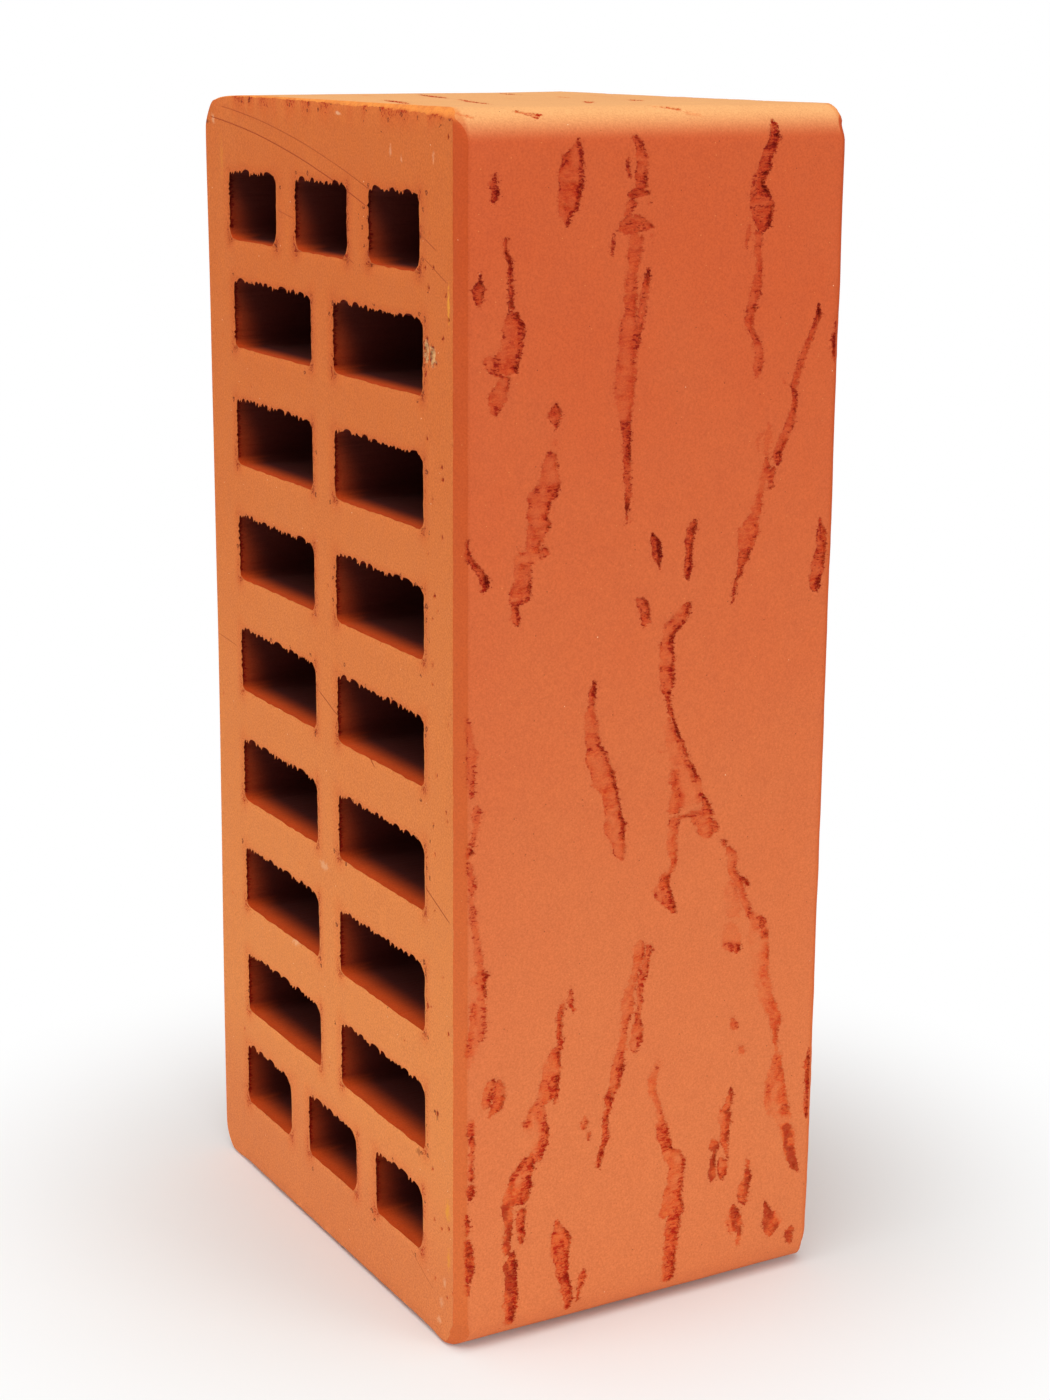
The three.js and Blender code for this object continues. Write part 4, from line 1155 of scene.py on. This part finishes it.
def bed_relief(y, z, side):
    """How far the bed lies below its plane, how torn it is there and how much of a pit it is."""
    depth = 0.09 + 0.06 * noise_2d(y + 200, z, 11.0, 15.0, 81 + side)
    depth += 0.025 * noise_2d(y + 200, z, 2.6, 3.4, 83 + side)
    tear = np.zeros_like(depth)
    pit = np.zeros_like(depth)
    for place in PLACES:
        y0, y1, z0, z1 = place
        window = (y > y0 - 3) & (y < y1 + 3) & (z > z0 - 3) & (z < z1 + 3)
        if not window.any():
            continue
        below, above, beside = near_core(y[window], z[window], place)
        under = z[window] < z0 + 0.3
        over = z[window] > z1 - 0.3
        roll = np.where(under, 0.42 * np.clip(1 - below / 1.25, 0, 1) ** 2, 0)
        roll = np.maximum(roll, np.where(over, 0.10 * np.clip(1 - above / 0.8, 0, 1), 0))
        roll = np.maximum(roll, np.where(~under & ~over, 0.2 * np.clip(1 - beside / 0.8, 0, 1) ** 2, 0))
        depth[window] += roll
        # Crumbs were dragged out below a core and to its face side.
        dragged = np.exp(-((beside / 2.3) ** 2)) * np.where((z[window] < z0 + 4) | (y[window] < y0), 1.0, 0.7)
        pit[window] = np.maximum(pit[window], 0.58 * dragged)
    for cy, cz, ry, rz, deep in (CHIPS if side == NEAR else []):
        window = (np.abs(y - cy) < 2 * ry) & (np.abs(z - cz) < 2 * rz)
        if window.any():
            away = np.hypot((y[window] - cy) / ry, (z[window] - cz) / rz)
            away = away + 0.25 * noise_2d(y[window] + 200, z[window], 0.7, 0.7, 85)
            depth[window] += deep * step(1.1, 0.75, away)
            pit[window] = np.maximum(pit[window], np.exp(-(((away - 1.05) / 0.24) ** 2)))
            tear[window] = np.maximum(tear[window], 0.5 * step(1.15, 0.95, away))
    for cy, cz, radius, strength in PITS:
        cz = cz if side == NEAR else LENGTH - cz
        window = (np.abs(y - cy) < 1.5) & (np.abs(z - cz) < 1.5)
        if window.any():
            away = np.hypot(y[window] - cy, (z[window] - cz) * 0.8) / radius
            hole = np.exp(-(away ** 2) * 1.3)
            depth[window] += 0.4 * strength * hole
            pit[window] = np.maximum(pit[window], strength * step(0.15, 0.6, hole))
    return depth, tear, pit


def in_outline(y, z, outline):
    """Which points lie inside a closed outline."""
    inside = np.zeros(y.shape, bool)
    oy, oz = outline
    ny, nz = np.roll(oy, -1), np.roll(oz, -1)
    near = np.nonzero((y > oy.min()) & (y < oy.max()) & (z > oz.min()) & (z < oz.max()))[0]
    if len(near):
        py, pz = y[near][:, None], z[near][:, None]
        rising = (oz > pz) != (nz > pz)
        with np.errstate(divide="ignore", invalid="ignore"):
            crossing = oy + (pz - oz) * (ny - oy) / (nz - oz)
        inside[near] = (rising & (py < crossing)).sum(axis=1) % 2 == 1
    return inside


def bed_nodes(side):
    """Y and Z of points that carry the bed's relief, with the width of the cells they belong to."""
    y = FACE_Y + np.arange(BED_ROWS * FINE + 1)[:, None] * BED_STEP
    z = np.arange(BED_COLUMNS * FINE + 1)[None, :] * BED_STEP
    y, z = y + 0 * z, z + 0 * y
    depth, tear, pit = bed_relief(y, z, side)
    largest = np.full_like(depth, 4.0)
    for place in PLACES:
        y0, y1, z0, z1 = place
        upper = (y > y0 - 0.6) & (y < y1 + 0.6) & (z > z1 - 0.2) & (z < z1 + 1.8)
        lower = (y > y0 - 0.6) & (y < y1 + 0.6) & (z > z0 - 1.2) & (z < z0 + 0.2)
        sides = (y > y0 - 1.2) & (y < y1 + 1.2) & (z > z0 - 0.5) & (z < z1 + 0.5)
        hollow = (y > y0 + 2) & (y < y1 - 2) & (z > z0 + 2) & (z < z1 - 2)
        largest[upper | sides] = 2.0
        largest[lower] = 1.0
        depth[hollow] = 0
    splits = split_cells(depth + 0.2 * tear + 0.16 * pit, largest, BED_STEP, BED_TOLERANCE, False)
    width = np.zeros_like(depth)
    for size, row, column, _ in leaf_cells(splits, False):
        for i, j in ((0, 0), (size, 0), (size, size), (0, size)):
            at = (row + i, column + j)
            width[at] = np.where(width[at] == 0, size * BED_STEP, np.minimum(width[at], size * BED_STEP))
    used = width > 0
    return y[used], z[used], width[used]


def build_bed(clay, side, border, mouths):
    """One bed face, from its border to the mouths of its cores."""
    loops = [border] + mouths
    fixed_y = np.concatenate([y for _, y, _ in loops])
    fixed_z = np.concatenate([z for _, _, z in loops])
    index = np.concatenate([points for points, _, _ in loops])
    edges, start = [], 0
    for _, y, _ in loops:
        edges += [(start + i, start + (i + 1) % len(y)) for i in range(len(y))]
        start += len(y)
    tree = KDTree(len(fixed_y))
    for i, (y, z) in enumerate(zip(fixed_y, fixed_z)):
        tree.insert((y, z, 0.0), i)
    tree.balance()
    y, z, width = bed_nodes(side)
    keep = in_outline(y, z, (border[1], border[2]))
    for _, oy, oz in mouths:
        keep &= ~in_outline(y, z, (oy, oz))
    y, z, width = y[keep], z[keep], width[keep]
    clear = np.array([tree.find((a, b, 0.0))[2] > max(0.3, 0.45 * c) for a, b, c in zip(y, z, width)])
    y, z = y[clear], z[clear]
    depth, tear, pit = bed_relief(y, z, side)
    out = -1 if side == NEAR else 1
    free = clay.add_points(out * (HALF_HEIGHT - depth), y, z, torn=1.0, tear=tear, pit=pit)
    index = np.concatenate([index, free])
    all_y, all_z = np.concatenate([fixed_y, y]), np.concatenate([fixed_z, z])
    found = delaunay_2d_cdt([Vector(pair) for pair in zip(all_y, all_z)], edges, [], 1, 1e-7, True)
    if len(found[0]) != len(all_y):
        raise RuntimeError("outlines on a bed face cross or touch")
    back = np.array([inputs[0] for inputs in found[3]])
    corners = back[np.array(found[2])]
    middle_y, middle_z = all_y[corners].mean(axis=1), all_z[corners].mean(axis=1)
    keep = in_outline(middle_y, middle_z, (border[1], border[2]))
    for _, oy, oz in mouths:
        keep &= ~in_outline(middle_y, middle_z, (oy, oz))
    corners = corners[keep]
    if side == NEAR:
        corners = corners[:, ::-1]
        chart_u = NEAR_BED_MIDDLE - all_y[corners]
    else:
        chart_u = FAR_BED_MIDDLE + all_y[corners]
    clay.add_faces(index[corners], BED, np.stack([chart_u, BEDS_LOW + all_z[corners]], axis=-1))


# ---------------------------------------------------------------------------------------------
# The brick
# ---------------------------------------------------------------------------------------------

CREASE = math.radians(42)  # edges sharper than this are shaded as edges


def shape_brick():
    clay = Clay()
    skin = new_skin()
    tear_skin(skin)
    roughen_skin(skin)
    borders = build_skin(clay, skin)
    mouths = [build_core(clay, place, number) for number, place in enumerate(PLACES)]
    for side in (NEAR, FAR):
        build_bed(clay, side, borders[side], [pair[side] for pair in mouths])
    return clay


def make_mesh(clay, name):
    mesh = bpy.data.meshes.new(name)
    points = np.concatenate(clay.points) * MM
    corners = np.concatenate([face.reshape(-1) for face, _, _ in clay.faces])
    sizes = np.concatenate([np.full(len(face), face.shape[1]) for face, _, _ in clay.faces])
    kinds = np.concatenate([np.full(len(face), kind) for face, kind, _ in clay.faces])
    charts = np.concatenate([chart.reshape(-1, 2) for _, _, chart in clay.faces]) / SHEET
    mesh.vertices.add(len(points))
    mesh.vertices.foreach_set("co", points.ravel())
    mesh.loops.add(len(corners))
    mesh.loops.foreach_set("vertex_index", corners.astype(np.int32))
    mesh.polygons.add(len(sizes))
    mesh.polygons.foreach_set("loop_start", (np.cumsum(sizes) - sizes).astype(np.int32))
    mesh.polygons.foreach_set("use_smooth", np.ones(len(sizes), bool))
    mesh.uv_layers.new(name="OFBake").data.foreach_set("uv", charts.ravel())
    mesh.update(calc_edges=True)
    for field, values in clay.fields.items():
        layer = mesh.attributes.new(field, "FLOAT", "POINT")
        layer.data.foreach_set("value", np.concatenate(values))
    for field, kind in (("is_bed", BED), ("is_cut", CUT), ("is_core", CORE)):
        layer = mesh.attributes.new(field, "FLOAT", "FACE")
        layer.data.foreach_set("value", (kinds == kind).astype(float))
    mesh.set_sharp_from_angle(angle=CREASE)
    return mesh


# ---------------------------------------------------------------------------------------------
# Fired clay
# ---------------------------------------------------------------------------------------------


def srgb(red, green, blue):
    """A colour as it looks on screen, in the linear values that the shader takes."""
    parts = [c / 255 for c in (red, green, blue)]
    return tuple(c / 12.92 if c <= 0.04045 else ((c + 0.055) / 1.055) ** 2.4 for c in parts) + (1.0,)


class Value:
    """What a node gives out. Sums and products of values are written as such."""

    def __init__(self, graph, socket):
        self.graph, self.socket = graph, socket

    def __add__(self, other):
        return self.graph.math("ADD", self, other)

    def __sub__(self, other):
        return self.graph.math("SUBTRACT", self, other)

    def __rsub__(self, other):
        return self.graph.math("SUBTRACT", other, self)

    def __mul__(self, other):
        return self.graph.math("MULTIPLY", self, other)

    def __truediv__(self, other):
        return self.graph.math("DIVIDE", self, other)

    def __abs__(self):
        return self.graph.math("ABSOLUTE", self)


class Graph:
    """The nodes of a material or a world. An input is a Value, or a plain number, colour or vector."""

    def __init__(self, owner):
        owner.use_nodes = True
        self.nodes, self.links = owner.node_tree.nodes, owner.node_tree.links
        self.nodes.clear()

    def node(self, kind, inputs=(), **settings):
        """A new node. Its inputs are given in order, or by name or number."""
        node = self.nodes.new("ShaderNode" + kind)
        for name, setting in settings.items():
            setattr(node, name, setting)
        for key, value in inputs.items() if isinstance(inputs, dict) else enumerate(inputs):
            if isinstance(value, Value):
                self.links.new(value.socket, node.inputs[key])
            else:
                node.inputs[key].default_value = value
        return node

    def value(self, kind, inputs=(), output=0, **settings):
        return Value(self, self.node(kind, inputs, **settings).outputs[output])

    def math(self, operation, *values, clamp=False):
        return self.value("Math", values, operation=operation, use_clamp=clamp)

    def ramp(self, value, low, high, out_low=0.0, out_high=1.0):
        return self.value("MapRange", (value, low, high, out_low, out_high), interpolation_type="SMOOTHSTEP")

    def mix(self, share, first, second, blend="MIX"):
        return self.value("Mix", {0: share, 6: first, 7: second}, 2, data_type="RGBA", blend_type=blend)

    def stretch(self, place, scale, shift=0.0):
        """A place in other units along each axis, shifted so that one pattern differs from the next."""
        location = (shift, 1.7 * shift, 0.6 * shift)
        return self.value("Mapping", {"Vector": place, "Scale": scale, "Location": location})

    def noise(self, place, scale, shift, detail, roughness):
        return self.value("TexNoise", {"Vector": self.stretch(place, scale, shift), "Scale": 1.0,
                                       "Detail": detail, "Roughness": roughness})

    def cells(self, place, scale, shift):
        """Distance to the middle of a scattered cell, and a number from 0 to 1 that the cell has drawn."""
        node = self.node("TexVoronoi", {"Vector": self.stretch(place, (scale,) * 3, shift), "Scale": 1.0})
        colour = Value(self, node.outputs["Color"])
        return Value(self, node.outputs["Distance"]), self.value("SeparateColor", [colour])

    def seen_by(self, *rays):
        """1 for rays of these kinds, and 0 for others."""
        path = self.node("LightPath")
        first, *others = (Value(self, path.outputs[f"Is {ray} Ray"]) for ray in rays)
        for other in others:
            first = self.math("MAXIMUM", first, other)
        return first


# Scratches on the near bed: Y from and to, Z = a + b Y + c Y Y, width in mm and strength.
SCRATCHES = [
    (*bed_curve([(210, 116), (287, 152), (320, 170), (366, 207)]), 0.32, 0.70),
    (*bed_curve([(232, 110), (275, 127), (320, 155), (372, 192)], (-24.0, 50.0)), 0.28, 0.50),
    (*bed_curve([(422, 237), (437, 252)]), 0.30, 0.60),
    (*bed_curve([(422, 257), (447, 284)]), 0.28, 0.55),
    (*bed_curve([(277, 210), (294, 219)]), 0.26, 0.50),
    (*bed_curve([(346, 257), (354, 264)]), 0.28, 0.50),
    (*bed_curve([(318, 690), (345, 726), (360, 748), (375, 768)]), 0.34, 0.80),
    (*bed_curve([(424, 886), (450, 925)]), 0.34, 0.85),
    (-49.2, -38.3, 45.9, 1.08, 0.0072, 0.26, 0.50),
    (47.0, 60.0, 123.9, 0.077, 0.0, 0.26, 0.45),
]
# Pale and yellow marks on the near bed: Y, Z, half width, half height, colour and strength.
CREAM, STRAW, OCHRE, UMBER = srgb(240, 205, 165), srgb(238, 200, 138), srgb(232, 158, 52), srgb(120, 52, 22)
MARKS = [
    (-55.8, 214.2, 0.55, 3.6, OCHRE, 0.8),
    (-46.8, 204.5, 1.1, 1.9, STRAW, 0.7),
    (-49.3, 203.8, 1.1, 1.8, STRAW, 0.7),
    (50.0, 236.0, 0.8, 4.4, OCHRE, 0.25),
    (-32.1, 241.3, 0.5, 1.2, CREAM, 0.28),
    (-49.9, 240.7, 0.5, 1.1, CREAM, 0.28),
    (-36.8, 239.8, 0.4, 0.8, CREAM, 0.28),
    (57.6, 243.8, 1.5, 0.5, UMBER, 0.8),
    (54.2, 244.6, 0.9, 1.0, CREAM, 0.35),
    (-9.0, 247.5, 1.5, 0.4, CREAM, 0.45),
    (-55.0, 30.5, 1.0, 2.3, OCHRE, 0.75),
    (-55.5, 20.0, 0.7, 2.3, OCHRE, 0.6),
    (-53.6, 14.0, 0.7, 1.2, CREAM, 0.30),
    (-52.6, 9.0, 0.9, 1.3, CREAM, 0.25),
    (-51.4, 4.5, 1.0, 0.8, CREAM, 0.30),
    (-50.5, 50.0, 0.45, 1.0, UMBER, 0.8),
    (-42.0, 38.5, 1.2, 0.7, UMBER, 0.5),
    (2.0, 88.0, 2.4, 1.0, CREAM, 0.3),
    (18.0, 65.5, 2.0, 0.9, CREAM, 0.3),
]

# Sand in the clay: cells to the millimetre, a grain's radius where it ends and where it is full, in
# cells, its colour and its strength. The share of cells without a grain comes after.
GRITS = [
    (0.62, 0.090, 0.055, srgb(236, 164, 96), 0.50),
    (0.26, 0.036, 0.024, srgb(250, 224, 180), 0.85),
    (0.45, 0.075, 0.045, srgb(120, 34, 16), 0.60),
    (1.10, 0.130, 0.080, srgb(158, 56, 26), 0.40),
]
WITHOUT_GRIT = 0.72

# Colours of the clay. HIGH and LOW are at the top and at the foot of the brick: the LOW ones are lighter
# and paler with painted bounce light from the floor.
SKIN_HIGH, SKIN_LOW_BOUNCE_LIT = srgb(210, 94, 50), srgb(227, 127, 75)
BED_HIGH, BED_LOW_BOUNCE_LIT, BED_FOOT = srgb(208, 108, 50), srgb(229, 141, 77), srgb(222, 128, 72)
# The top's colour is paler with a painted sheen and light from above.
TOP_SHEEN_CLAY = srgb(234, 170, 110)
ARRIS_HIGH, ARRIS_LOW_BOUNCE_LIT = srgb(198, 82, 36), srgb(221, 113, 58)
# The cut near the top is lighter with painted light from above.
TOP_ARRIS_LIT = srgb(234, 144, 66)
# Inside the cores the clay turns to painted shade further in.
CORE_CLAY, CORE_PAINTED_SHADE = srgb(222, 82, 26), srgb(92, 36, 28)
CRUMB, SCRATCHED = srgb(112, 36, 16), srgb(156, 44, 16)
# What torn clay and the holes in it leave of the colour around them. The LOW ones are lighter with the
# same painted bounce light.
TORN_DARK_HIGH, TORN_DARK_LOW_BOUNCE_LIT = (0.78, 0.29, 0.18, 1.0), (0.95, 0.40, 0.23, 1.0)
# The pale ones are partly painted highlight on raised torn clay.
TORN_PALE_HIGH, TORN_PALE_LOW_BOUNCE_LIT = (1.00, 0.76, 0.55, 1.0), (1.04, 0.82, 0.58, 1.0)
HOLE_HIGH, HOLE_LOW_BOUNCE_LIT = (0.60, 0.25, 0.19, 1.0), (0.76, 0.30, 0.20, 1.0)
TORN_DARK_TOP, HOLE_TOP = (0.92, 0.36, 0.20, 1.0), (0.76, 0.18, 0.09, 1.0)
SHADED = (0.62, 0.38, 0.34, 1.0)
GRAIN_HEIGHT = 0.10  # in millimetres
SPECULAR = 0.2


def clay_material():
    material = bpy.data.materials.new("fired_clay")
    graph = Graph(material)
    ramp, mix, noise = graph.ramp, graph.mix, graph.noise
    place = graph.stretch(graph.value("TexCoord", output="Object"), (1 / MM,) * 3)
    x, y, z = (Value(graph, socket) for socket in graph.node("SeparateXYZ", [place]).outputs)
    bed, cut, core, torn, tear, pit, inside = (
        graph.value("Attribute", output="Fac", attribute_name=name)
        for name in ("is_bed", "is_cut", "is_core", "torn", "tear", "pit", "core_depth"))

    broad = noise(place, (0.035, 0.035, 0.03), 0.0, 3.0, 0.6)
    middle = noise(place, (0.30, 0.30, 0.30), 5.0, 3.0, 0.6)
    grain = noise(place, (2.6, 2.6, 2.6), 9.0, 2.0, 0.6)
    drag = noise(place, (0.10, 1.3, 1.3), 3.0, 2.0, 0.6)

    # Ground colour of each kind of surface, lighter and paler towards the foot with painted bounce light from
    # the floor.
    # rise runs from 0 at the foot to 1 at the top, a little unevenly: the lower it is, the more painted
    # bounce light.
    rise = graph.math("ADD", ramp(z, 0.0, LENGTH), (broad - 0.5) * 0.5, clamp=True)
    # The top takes that paler colour: painted sheen and light from above.
    on_top = ramp(z, FACE_TOP + 0.5, LENGTH - 0.5)
    colour = mix(on_top, mix(rise, SKIN_LOW_BOUNCE_LIT, SKIN_HIGH), TOP_SHEEN_CLAY)
    # Near the top the cut is lighter, a little unevenly: painted light from above.
    arris_lit_from_above = ramp(z, LENGTH - 3.4, LENGTH - 0.6) * ramp(middle, 0.35, 0.60, 0.70, 1.0)
    arris = mix(arris_lit_from_above, mix(rise, ARRIS_LOW_BOUNCE_LIT, ARRIS_HIGH), TOP_ARRIS_LIT)
    # The blade's cut fades out into the skin.
    strip = ramp(z, FOOT_RISE, 0.0, STRIP, STRIP_FOOT)
    beside = ramp(abs(x) + strip - HALF_HEIGHT, -0.8, 0.3, 0.0, 0.55) * ramp(y, FACE_Y + 9.0, FACE_Y + 6.0)
    colour = mix(graph.math("MAXIMUM", cut, beside), colour, arris)
    colour = mix(bed, colour, mix(rise, BED_LOW_BOUNCE_LIT, BED_HIGH))
    colour = mix(bed * ramp(z, 45.0, 12.0), colour, BED_FOOT)
    # Further into a core the colour turns to painted shade.
    colour = mix(core, colour, mix(ramp(inside, 0.0, 14.0), CORE_CLAY, CORE_PAINTED_SHADE))

    # Mottling, and the sand in the clay.
    shade = (middle - 0.5) * 0.17 + (grain - 0.5) * ramp(bed, 0.0, 1.0, 0.62, 0.95) + (broad - 0.5) * 0.15
    tint = graph.value("CombineColor", [graph.math("MULTIPLY_ADD", shade, share, 1.0)
                                        for share in (0.6, 1.0, 1.2)])
    colour = mix(1.0, colour, tint, "MULTIPLY")
    outside = 1.0 - core
    for scale, ends, full, grit, strength in GRITS:
        distance, chance = graph.cells(place, scale, 20 * scale)
        chosen = graph.math("GREATER_THAN", chance, WITHOUT_GRIT)
        colour = mix(ramp(distance, full, ends, strength, 0.0) * chosen * outside, colour, grit)

    # Torn clay with a ragged edge, and holes in it that are longer across the die's stroke.
    fringe = noise(place, (1.3, 2.6, 2.6), 23.0, 2.5, 0.65) - 0.5
    edge = graph.math("MULTIPLY_ADD", fringe, 2.6, torn)
    within, about = ramp(edge, 0.40, 0.60), ramp(edge, 0.22, 0.40)
    mottle = noise(place, (0.75, 2.3, 2.3), 31.0, 3.0, 0.7)
    torn_dark = mix(on_top, mix(rise, TORN_DARK_LOW_BOUNCE_LIT, TORN_DARK_HIGH), TORN_DARK_TOP)
    torn_pale_highlight = mix(rise, TORN_PALE_LOW_BOUNCE_LIT, TORN_PALE_HIGH)
    hole = mix(on_top, mix(rise, HOLE_LOW_BOUNCE_LIT, HOLE_HIGH), HOLE_TOP)
    # Torn clay is paler where its mottle is raised and darker in its hollows: partly its own uneven tone,
    # partly painted highlight and shade.
    rubble_and_relief_light = mix(ramp(mottle, 0.36, 0.62), torn_dark, torn_pale_highlight)
    wrinkle = ramp(abs(noise(place, (0.55, 1.0, 1.0), 83.0, 2.0, 0.5) - 0.5), 0.022, 0.004)
    dim = ramp(tear, 0.75, 1.40, 0.0, 0.85)
    tear = graph.math("MULTIPLY", tear, 1.25, clamp=True) * within
    pit = pit * about
    colour = mix(tear, colour, rubble_and_relief_light, "MULTIPLY")
    colour = mix(dim * within, colour, SHADED, "MULTIPLY")
    colour = mix(wrinkle * tear * 0.55, colour, torn_dark, "MULTIPLY")
    strokes = graph.math("MULTIPLY_ADD", pit, 0.66, noise(place, (0.85, 2.5, 2.5), 67.0, 2.5, 0.6))
    holes, deepest = ramp(strokes, 0.84, 0.94), ramp(strokes, 1.00, 1.14)
    colour = mix(pit * 0.55, colour, torn_dark, "MULTIPLY")
    for share in (holes, deepest):
        colour = mix(share, colour, hole, "MULTIPLY")

    # Crumbs have left small holes beside the cores, and a fine line of painted shadow parts the bed from the
    # blade's cut.
    distance, chance = graph.cells(place, 1.3, 61.0)
    crumbly = pit * ramp(z, 40.0, 240.0, 0.06, 0.22) * ramp(y, -10.0, -50.0, 0.15, 1.0)
    chosen = graph.math("GREATER_THAN", crumbly + chance, 1.0)
    colour = mix(ramp(distance, 0.28, 0.18, 0.8, 0.0) * chosen * bed, colour, CRUMB)
    # The line is painted shadow in the crease.
    line = ramp(y - FACE_Y - strip, 0.50, 0.22) * bed * ramp(middle, 0.35, 0.55, 0.3, 0.8)
    colour = mix(line, colour, torn_dark, "MULTIPLY")

    # Marks and scratches of the near bed.
    near_bed = bed * graph.math("LESS_THAN", x, -HALF_HEIGHT + 2.0)
    ragged = noise(place, (1.4, 1.4, 1.4), 43.0, 2.0, 0.5) * 2.2
    for mark_y, mark_z, half_y, half_z, paint, strength in MARKS:
        away_y, away_z = (y - mark_y) / half_y, (z - mark_z) / half_z
        away = graph.math("SQRT", away_y * away_y + away_z * away_z) + ragged
        colour = mix(ramp(away, 1.3, 2.4, strength, 0.0) * near_bed, colour, paint)
    scratched = 0.0
    for start, end, a, b, c, width, strength in SCRATCHES:
        line = graph.math("MULTIPLY_ADD", y, graph.math("MULTIPLY_ADD", y, c, b), a)
        groove = ramp(abs(z - line), 0.15 * width, 0.55 * width, strength, 0.0)
        groove = groove * ramp(y, start - 0.5, start + 1.5) * ramp(y, end + 0.5, end - 1.5)
        scratched = graph.math("MAXIMUM", scratched, groove)
    scratched = scratched * near_bed
    colour = mix(scratched, colour, SCRATCHED)

    # Grain of the surface: fine on the skin, coarser on the beds, and long drags down the cores.
    rough_bed = noise(place, (1.2, 1.5, 1.1), 51.0, 4.0, 0.6)
    height = grain * 0.5 + middle * 0.5 + rough_bed * bed + drag * core * 3.5 + mottle * tear * 3.0
    height = height - holes * 1.4 - scratched * 1.6
    bump = graph.value("Bump", {"Strength": 0.75, "Distance": GRAIN_HEIGHT * MM, "Height": height})
    roughness = graph.math("MAXIMUM", ramp(middle, 0.3, 0.7, 0.80, 0.92), core)
    shader = graph.value("BsdfPrincipled", {"Base Color": colour, "Roughness": roughness,
                                            "Specular IOR Level": SPECULAR, "Normal": bump})
    graph.node("OutputMaterial", {"Surface": shader})
    return material


# ---------------------------------------------------------------------------------------------
# Floor, light and camera, in metres
# ---------------------------------------------------------------------------------------------

WHITE, DAYLIGHT, PAPER = (1.0, 1.0, 1.0, 1.0), (1.0, 0.985, 0.965, 1.0), (0.86, 0.855, 0.85, 1.0)
FLOOR_SIZE = 12.0
FLOOR_NEAR, FLOOR_FAR = 0.04, 0.17  # from where to where the paper fades to white
AMBIENT = 0.24
LAMP_COLOUR, LAMPS_AIM = (1.0, 0.985, 0.96), (0.0, 0.0, 0.12)
# Name, place, size and power.
LAMPS = [
    ("key", (-0.3, -0.3, 1.6), (1.7, 1.5), 23.0),
    ("right", (1.3, -2.1, 0.6), (1.2, 1.2), 21.0),
    ("left", (-2.3, 0.4, 0.6), (1.2, 1.2), 17.4),
]
CLIPPING = (0.02, 50.0)


def make_floor():
    bpy.ops.mesh.primitive_plane_add(size=FLOOR_SIZE)
    floor = bpy.context.object
    floor.name = "floor"
    material = bpy.data.materials.new("floor_paper")
    graph = Graph(material)
    away = graph.value("VectorMath", [graph.value("TexCoord", output="Object")], "Value", operation="LENGTH")
    fade = graph.ramp(away, FLOOR_NEAR, FLOOR_FAR) * graph.seen_by("Camera", "Glossy", "Transmission")
    paper, white = graph.value("BsdfDiffuse", {"Color": PAPER}), graph.value("Emission", {"Color": WHITE})
    graph.node("OutputMaterial", {"Surface": graph.value("MixShader", [fade, paper, white])})
    floor.data.materials.append(material)


def make_world():
    world = bpy.data.worlds.new("studio")
    bpy.context.scene.world = world
    graph = Graph(world)
    direct = graph.seen_by("Camera", "Transmission")
    back = graph.value("Background", {"Color": graph.mix(direct, DAYLIGHT, WHITE),
                                      "Strength": graph.ramp(direct, 0.0, 1.0, AMBIENT, 1.0)})
    graph.node("OutputWorld", {"Surface": back})


def make_softbox(name, place, size, power):
    lamp = bpy.data.lights.new(name, "AREA")
    lamp.shape = "RECTANGLE"
    lamp.size, lamp.size_y = size
    lamp.energy = power
    lamp.color = LAMP_COLOUR
    box = bpy.data.objects.new(name, lamp)
    bpy.context.collection.objects.link(box)
    box.location = place
    box.rotation_euler = (Vector(LAMPS_AIM) - Vector(place)).to_track_quat("-Z", "Y").to_euler()


def make_camera():
    camera = bpy.data.cameras.new("camera")
    camera.sensor_width = SENSOR
    camera.lens = FOCAL_PIXELS * SENSOR / PICTURE_HEIGHT
    camera.clip_start, camera.clip_end = CLIPPING
    stand = bpy.data.objects.new("camera", camera)
    bpy.context.collection.objects.link(stand)
    stand.matrix_world = Matrix.Translation(CAMERA_PLACE) @ Matrix(camera_axes()).transposed().to_4x4()
    bpy.context.scene.camera = stand


brick = bpy.data.objects.new("brick_body", make_mesh(shape_brick(), "brick_body"))
bpy.context.collection.objects.link(brick)
brick.data.materials.append(clay_material())
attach(brick, "root")
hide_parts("brick")

make_floor()
make_world()
for lamp_row in LAMPS:
    make_softbox(*lamp_row)
make_camera()
bpy.context.scene.view_settings.view_transform = "Standard"
